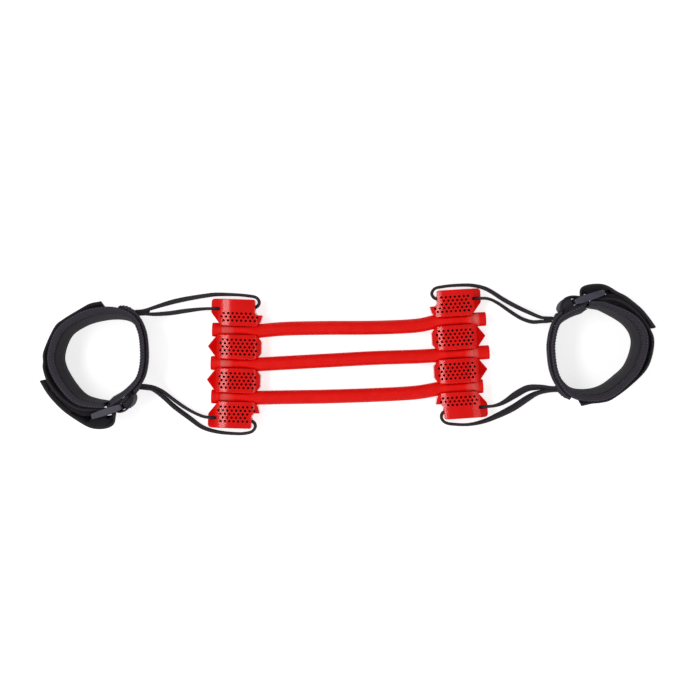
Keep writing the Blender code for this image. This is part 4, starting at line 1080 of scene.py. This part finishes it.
def outline_stations(side, steps=CUFF_STEPS):
    """Low place, high place, outward direction and pad thickness round a cuff, in millimetres."""
    smooth = spline(CUFF_OUTLINES[side], steps)
    stations = []
    for k, (x, y, thickness, lean) in enumerate(smooth):
        ahead = (smooth[min(k + 1, len(smooth) - 1)] - smooth[max(k - 1, 0)]).to_2d().normalized()
        outward = Vector((ahead.y, -ahead.x))
        low = Vector((x, y))
        stations.append((low, low + outward * lean, outward, thickness))
    return stations


def edge_stations(pairs):
    """The same for webbing of the strap's width whose lower and upper edges are given."""
    smooth = spline(pairs, CUFF_STEPS)
    low = [Vector(s[:2]) for s in smooth]
    high = [Vector(s[2:4]) for s in smooth]
    stations = []
    for k in range(len(smooth)):
        after, before = min(k + 1, len(smooth) - 1), max(k - 1, 0)
        ahead = (low[after] + high[after] - low[before] - high[before]).normalized()
        rise = (high[k] - low[k]) / STRAP_WIDTH
        bottom = low[k] - rise * (CUFF_HEIGHT - STRAP_WIDTH) / 2
        thickness = smooth[k][4] if len(smooth[k]) > 4 else 0
        stations.append((bottom, bottom + rise * CUFF_HEIGHT, Vector((ahead.y, -ahead.x)), thickness))
    return stations


def ribbed(stations, pitch, share):
    """Standing stations taken closely, with offsets that swell at each cross rib."""
    close, along = [], 0.0
    for a, b in zip(stations, stations[1:]):
        reach = (b[0] - a[0]).length
        count = max(1, round(reach / (pitch / 4)))
        for k in range(count):
            low, high, outward, thickness = (p + (q - p) * (k / count) for p, q in zip(a, b))
            swollen = 1 + share * sin(2 * pi * (along + reach * k / count) / pitch)
            close.append((low, high, outward * swollen, thickness))
        along += reach
    return close


def standing(side, name, stations, section):
    """A standing strip in a cuff, whose section gives outward offsets and heights."""
    place = placed(*CUFFS[side])
    rings = []
    for low, high, outward, thickness in stations:
        ring = []
        for offset, z in section(thickness):
            at = low + (high - low) * (z / CUFF_HEIGHT) + outward * offset
            ring.append(place @ Vector((at.x * mm, at.y * mm, z * mm)))
        rings.append(ring)
    return strip(f"{side}_{name}", rings)


def webbing_section(width, thickness, middle=0.0, on_pad=0.0):
    """Woven webbing on edge, with rounded selvedges."""

    def section(pad):
        flat = rounded_section(width, thickness)
        return [(middle + pad * on_pad + b, CUFF_HEIGHT / 2 + a) for a, b in flat]

    return section


def slab_section(near, far, low, high, near_on_pad=0, far_on_pad=0, soft=0.4):
    """A slab between two faces, which may be counted from the outside of the pad, with soft edges."""

    def section(pad):
        a, b = near + pad * near_on_pad, far + pad * far_on_pad
        step = min(soft, (b - a) / 2 * 0.95, (high - low) / 2 * 0.95)
        mid = [low + (high - low) * share for share in (0.2, 0.4, 0.6, 0.8)]
        up = [(b, z) for z in (low + step, *mid, high - step)]
        down = [(a, z) for z in (high - step, *mid[::-1], low + step)]
        return [(a + step, low), (b - step, low), *up, (b - step, high), (a + step, high), *down]

    return section


def wedge_section(near, low, high):
    """Pile between leaning webbing and an upright face: thin below, deep above."""

    def section(depth):
        middle = (near + depth * 0.5, (low + high) / 2)
        return [(near, low), (near + 0.6, low), middle, (near + depth, high), (near, high)]

    return section


def sewn(side, name, stations, section, material, slot, node=None, body="cuff"):
    """A standing strip in a cuff with its finish. It rides on a body there, unless it is given none."""
    node = node and f"{side}_cuff_{node}"
    body = body and f"{side}_{body}"
    return dress(standing(side, name, stations, section), material, slot, body, node)


def swell(pad):
    """Swells a foam pad between its sewn edges: a cloth simulation under pressure, capped point by point."""
    choose(pad)
    pad.data.remesh_voxel_size = PAD_VOXEL * mm
    bpy.ops.object.voxel_remesh()
    starts = [vert.co.copy() for vert in pad.data.vertices]
    sewn = pad.vertex_groups.new(name="sewn_edges")
    low, high = SEWN_EDGES
    edges = [k for k, co in enumerate(starts) if not low < co.z / mm < high]
    sewn.add(edges, 1, "REPLACE")
    cloth = pad.modifiers.new("swelling", "CLOTH")
    cloth.settings.vertex_group_mass = sewn.name
    cloth.settings.use_pressure = True
    cloth.settings.uniform_pressure_force = PAD_PRESSURE
    cloth.settings.effector_weights.gravity = 0
    cloth.point_cache.frame_start, cloth.point_cache.frame_end = 1, CLOTH_FRAMES
    for number in range(1, CLOTH_FRAMES + 1):
        scene.frame_set(number)
    seen = pad.evaluated_get(bpy.context.evaluated_depsgraph_get())
    ends = [vert.co.copy() for vert in seen.data.vertices]
    pad.modifiers.remove(cloth)
    scene.frame_set(1)
    for vert, start, end in zip(pad.data.vertices, starts, ends):
        move = end - start
        vert.co = start + move * min(1, PAD_SWELL * mm / max(move.length, 1e-9))
    pad.vertex_groups.remove(sewn)
    rounding = pad.modifiers.new("rounding", "SUBSURF")
    rounding.levels = rounding.render_levels = 1
    apply_modifiers(pad)
    bpy.ops.object.shade_smooth()


def add_stitch(shape, put):
    """One thread stitch: a spindle between two points, with four corners round each shoulder."""
    points = [(-STITCH / 2, 0, 0), (STITCH / 2, 0, 0)]
    for end in (-1, 1):
        for turn in (0, pi / 2, pi, 3 * pi / 2):
            points.append((end * STITCH / 4, STITCH_THICK * cos(turn), STITCH_THICK * sin(turn)))
    made = [shape.verts.new(put(*point)) for point in points]
    for k in range(4):
        n = (k + 1) % 4
        shape.faces.new((made[0], made[2 + n], made[2 + k]))
        shape.faces.new((made[2 + k], made[2 + n], made[6 + n], made[6 + k]))
        shape.faces.new((made[1], made[6 + k], made[6 + n]))


def stitch_row(side, name, stations, on_pad, offset, z):
    """A row of thread stitches along a line on the pad, with the gaps of a lockstitch."""
    place = placed(*CUFFS[side])
    shape = bmesh.new()
    line = []
    for low, high, outward, pad in stations:
        line.append(low + (high - low) * (z / CUFF_HEIGHT) + outward * (pad * on_pad + offset))
    carried = 0.0
    for a, b in zip(line, line[1:]):
        ahead = (b - a).normalized()
        across = Vector((ahead.y, -ahead.x))
        while carried < (b - a).length:
            centre = a + ahead * carried

            def put(along, aside, up):
                at = centre + ahead * along + across * aside
                return place @ Vector((at.x * mm, at.y * mm, (z + up) * mm))

            add_stitch(shape, put)
            carried += STITCH_PITCH
        carried -= (b - a).length
    for face in shape.faces:
        face.smooth = True
    dress(as_piece(shape, f"{side}_{name}"), THREAD, "black_binding_tape", f"{side}_cuff")


def make_pad(side, around):
    """The foam pad, its lining, the tape folded over its edges and the rows of stitches."""
    pad = standing(side, "foam_pad", around, slab_section(PAD_FACE, -0.7, *PAD_Z, far_on_pad=1, soft=0.8))
    swell(pad)
    dress(pad, NEOPRENE, "black_neoprene", f"{side}_cuff", f"{side}_cuff_pad")
    sewn(side, "knit_lining", around, slab_section(0, 1, *PAD_Z), LINING, "black_lining", "lining")
    for end, low, high in (("lower", 0, 3), ("upper", 47, 50)):
        folded = slab_section(0, 0, low, high, far_on_pad=1, soft=TAPE_SOFT)
        finish = (BINDING_TAPE, "black_binding_tape", f"{end}_binding")
        sewn(side, f"{end}_edge_tape", around, folded, *finish)
    for name, (on_pad, offset, z) in STITCH_ROWS.items():
        stitch_row(side, name, around, on_pad, offset, z)


def make_anchor(side, around):
    """The ribbed webbing towards the tubes, and the pads that sew the two cords to it."""
    first, last = (k * CUFF_STEPS // 2 for k in ANCHOR_ON_PAD[side])
    ribs = ribbed(around[first : last + 1], ANCHOR_RIB, ANCHOR_RIB_SWELL)
    section = webbing_section(STRAP_WIDTH, ANCHOR_THICKNESS, 2.1, 1)
    sewn(side, "ribbed_anchor", ribs, section, ANCHOR_WEBBING, "black_webbing", "anchor_webbing")
    names = ("lower", "upper") if side == "left" else ("upper", "lower")
    close = outline_stations(side, CUFF_STEPS * 2)
    section = slab_section(SEWN_PAD_NEAR, 0, *SEWN_PAD_Z, far_on_pad=1, soft=TAPE_SOFT)
    for name, (start, end) in zip(names, SEWN_PADS[side]):
        rise = []
        stretch = close[round(start * CUFF_STEPS) : round(end * CUFF_STEPS) + 1]
        for k, (low, high, outward, thickness) in enumerate(stretch):
            bulge = sin(pi * k / (len(stretch) - 1)) ** 0.5
            rise.append((low, high, outward, thickness + SEWN_PAD_EDGE + SEWN_PAD_BULGE * bulge))
        ribs = ribbed(rise, SEWN_PAD_RIB, SEWN_PAD_RIB_SWELL)
        sewn(side, f"{name}_sewn_pad", ribs, section, CORD_WEBBING, "black_webbing")


def make_keeper(side):
    """The webbing loop that holds the ring, what fills it, and the facing over the pad's end."""
    fill = edge_stations([(x, y, x, y, thickness) for x, y, thickness in KEEPER_FILLS[side]])
    section = slab_section(0, 0, *KEEPER_FILL_Z, -0.5, 0.5, soft=1.0)
    sewn(side, "keeper_fold", fill, section, CORD_WEBBING, "black_webbing")
    end = edge_stations([(*p, *p) for p in PAD_END])
    section = webbing_section(FACING_WIDTH, FACING_THICKNESS)
    sewn(side, "pad_end_facing", end, section, STRAP_WEBBING, "black_webbing")
    section = webbing_section(STRAP_WIDTH, KEEPER_THICKNESS)
    loop = edge_stations(KEEPERS[side])
    sewn(side, "ring_keeper", loop, section, STRAP_WEBBING, "black_webbing", "keeper_loop")


def make_strap(side):
    """The strap over the pad, through the ring and back, its loose tail, and their pile and hooks."""
    along_pad = []
    halves = outline_stations(side, 2)
    for k, standoff in STRAP_ON_PAD[side]:
        low, high, outward, thickness = halves[k]
        rise = (high - low) / CUFF_HEIGHT
        offset = thickness + STRAP_THICKNESS / 2 + 0.7
        lower = low + rise * STRAP_Z[0] + outward * (offset + standoff / 3)
        upper = low + rise * STRAP_Z[1] + outward * (offset + standoff - 0.4)
        along_pad.append((*lower, *upper))
    route, tail_edges = STRAP_LOOPS[side], STRAP_TAILS[side]
    webbing = edge_stations([*along_pad, *route[:-1], *tail_edges])
    parting = (len(along_pad) + len(route) - TAIL_LEAD) * CUFF_STEPS
    section = webbing_section(STRAP_WIDTH, STRAP_THICKNESS)
    finish = (STRAP_WEBBING, "black_webbing")
    sewn(side, "sewn_strap", webbing[: parting + 1], section, *finish, "strap")
    tail = sewn(side, "loose_tail", webbing[parting:], section, *finish, "strap_tail", None)
    near = STRAP_THICKNESS / 2 + 0.1
    finish = (PILE, "black_loop_pile")
    deep = edge_stations([(*edges, depth) for edges, depth in zip(route[1:9], PILE_DEPTHS[side])])
    section = slab_section(near, near, *PILE_Z, far_on_pad=1)
    sewn(side, "loop_pile", deep, section, *finish, "loop_patch")
    deep = edge_stations([(*edges, depth) for edges, depth in zip(route[11:], RETURN_DEPTHS[side])])
    returning = sewn(side, "return_pile", deep, wedge_section(near, *PILE_Z), *finish, body=None)
    for piece in (tail, returning):
        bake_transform(piece)
    section = slab_section(near, near + HOOK_DEPTH, *PILE_Z)
    finish = (HOOKS, "black_hook_tape", "hook_patch", "strap_end")
    sewn(side, "hook_tape", edge_stations(tail_edges[2:6]), section, *finish)


for cuff_side in CUFFS:
    pad_outline = outline_stations(cuff_side)
    make_pad(cuff_side, pad_outline)
    make_anchor(cuff_side, pad_outline)
    make_keeper(cuff_side)
    make_strap(cuff_side)


# Rings: moulded, bellied along their length, with a window for the strap


def moulded_ring():
    half = RING_LENGTH / 2
    centre = half - RING_BAR / 2
    start, end = -half - centre, half - centre
    low, high = RING_Z
    ring = add_box((start, -RING_BELLY / 2, low), (end, RING_BELLY / 2, high))
    with edit_mode(ring):
        for k in range(1, RING_SLICES):
            at = ((start + RING_LENGTH * k / RING_SLICES) * mm, 0, 0)
            bpy.ops.mesh.select_all(action="SELECT")
            bpy.ops.mesh.bisect(plane_co=at, plane_no=(1, 0, 0))
    for vert in ring.data.vertices:
        share = abs(vert.co.x / mm + centre) / half
        vert.co.y *= 1 - (1 - RING_END / RING_BELLY) * share**2
    window_start, window_end = -RING_LENGTH + RING_BAR * 1.5, -RING_BAR / 2
    window = add_box(
        (window_start, -RING_BELLY, low + RING_RAIL), (window_end, RING_BELLY, high - RING_RAIL)
    )
    round_edges(window, lambda a, b, _: abs(a.y - b.y) > 1, 1.6, 5)
    cut(ring, window)

    def at_an_end(a, b, angle):
        return angle > 40 and min(abs(a.x - x) + abs(b.x - x) for x in (start, end)) < 0.5

    round_edges(ring, at_an_end, 1.3, 2)
    round_edges(ring, lambda a, b, angle: angle > 40, 0.45, 2)
    width = RECESS_WIDTH / 2
    for below, above in RING_RECESSES:
        cut(ring, add_box((start + RECESS_INSET, -width, below), (end - RECESS_INSET, width, above)))
    return ring


ring_places = {side: placed(*CUFFS[side]) @ placed(*RING_PLACE) for side in CUFFS}
finish = (ACETAL, "grey_acetal", "ring", "cuff_ring")
lay_down(moulded_ring(), ring_places, "moulded_ring", *finish, 35)


# Covers, screws and plugs keep their CAD shape

for carried in list(bpy.data.objects):
    for ending, material in (("back_cover", COVER_ABS), ("_screw", ZINC), ("_plug", NYLON)):
        if carried.type == "MESH" and carried.name.endswith(ending):
            for slot in carried.material_slots:
                slot.material = material
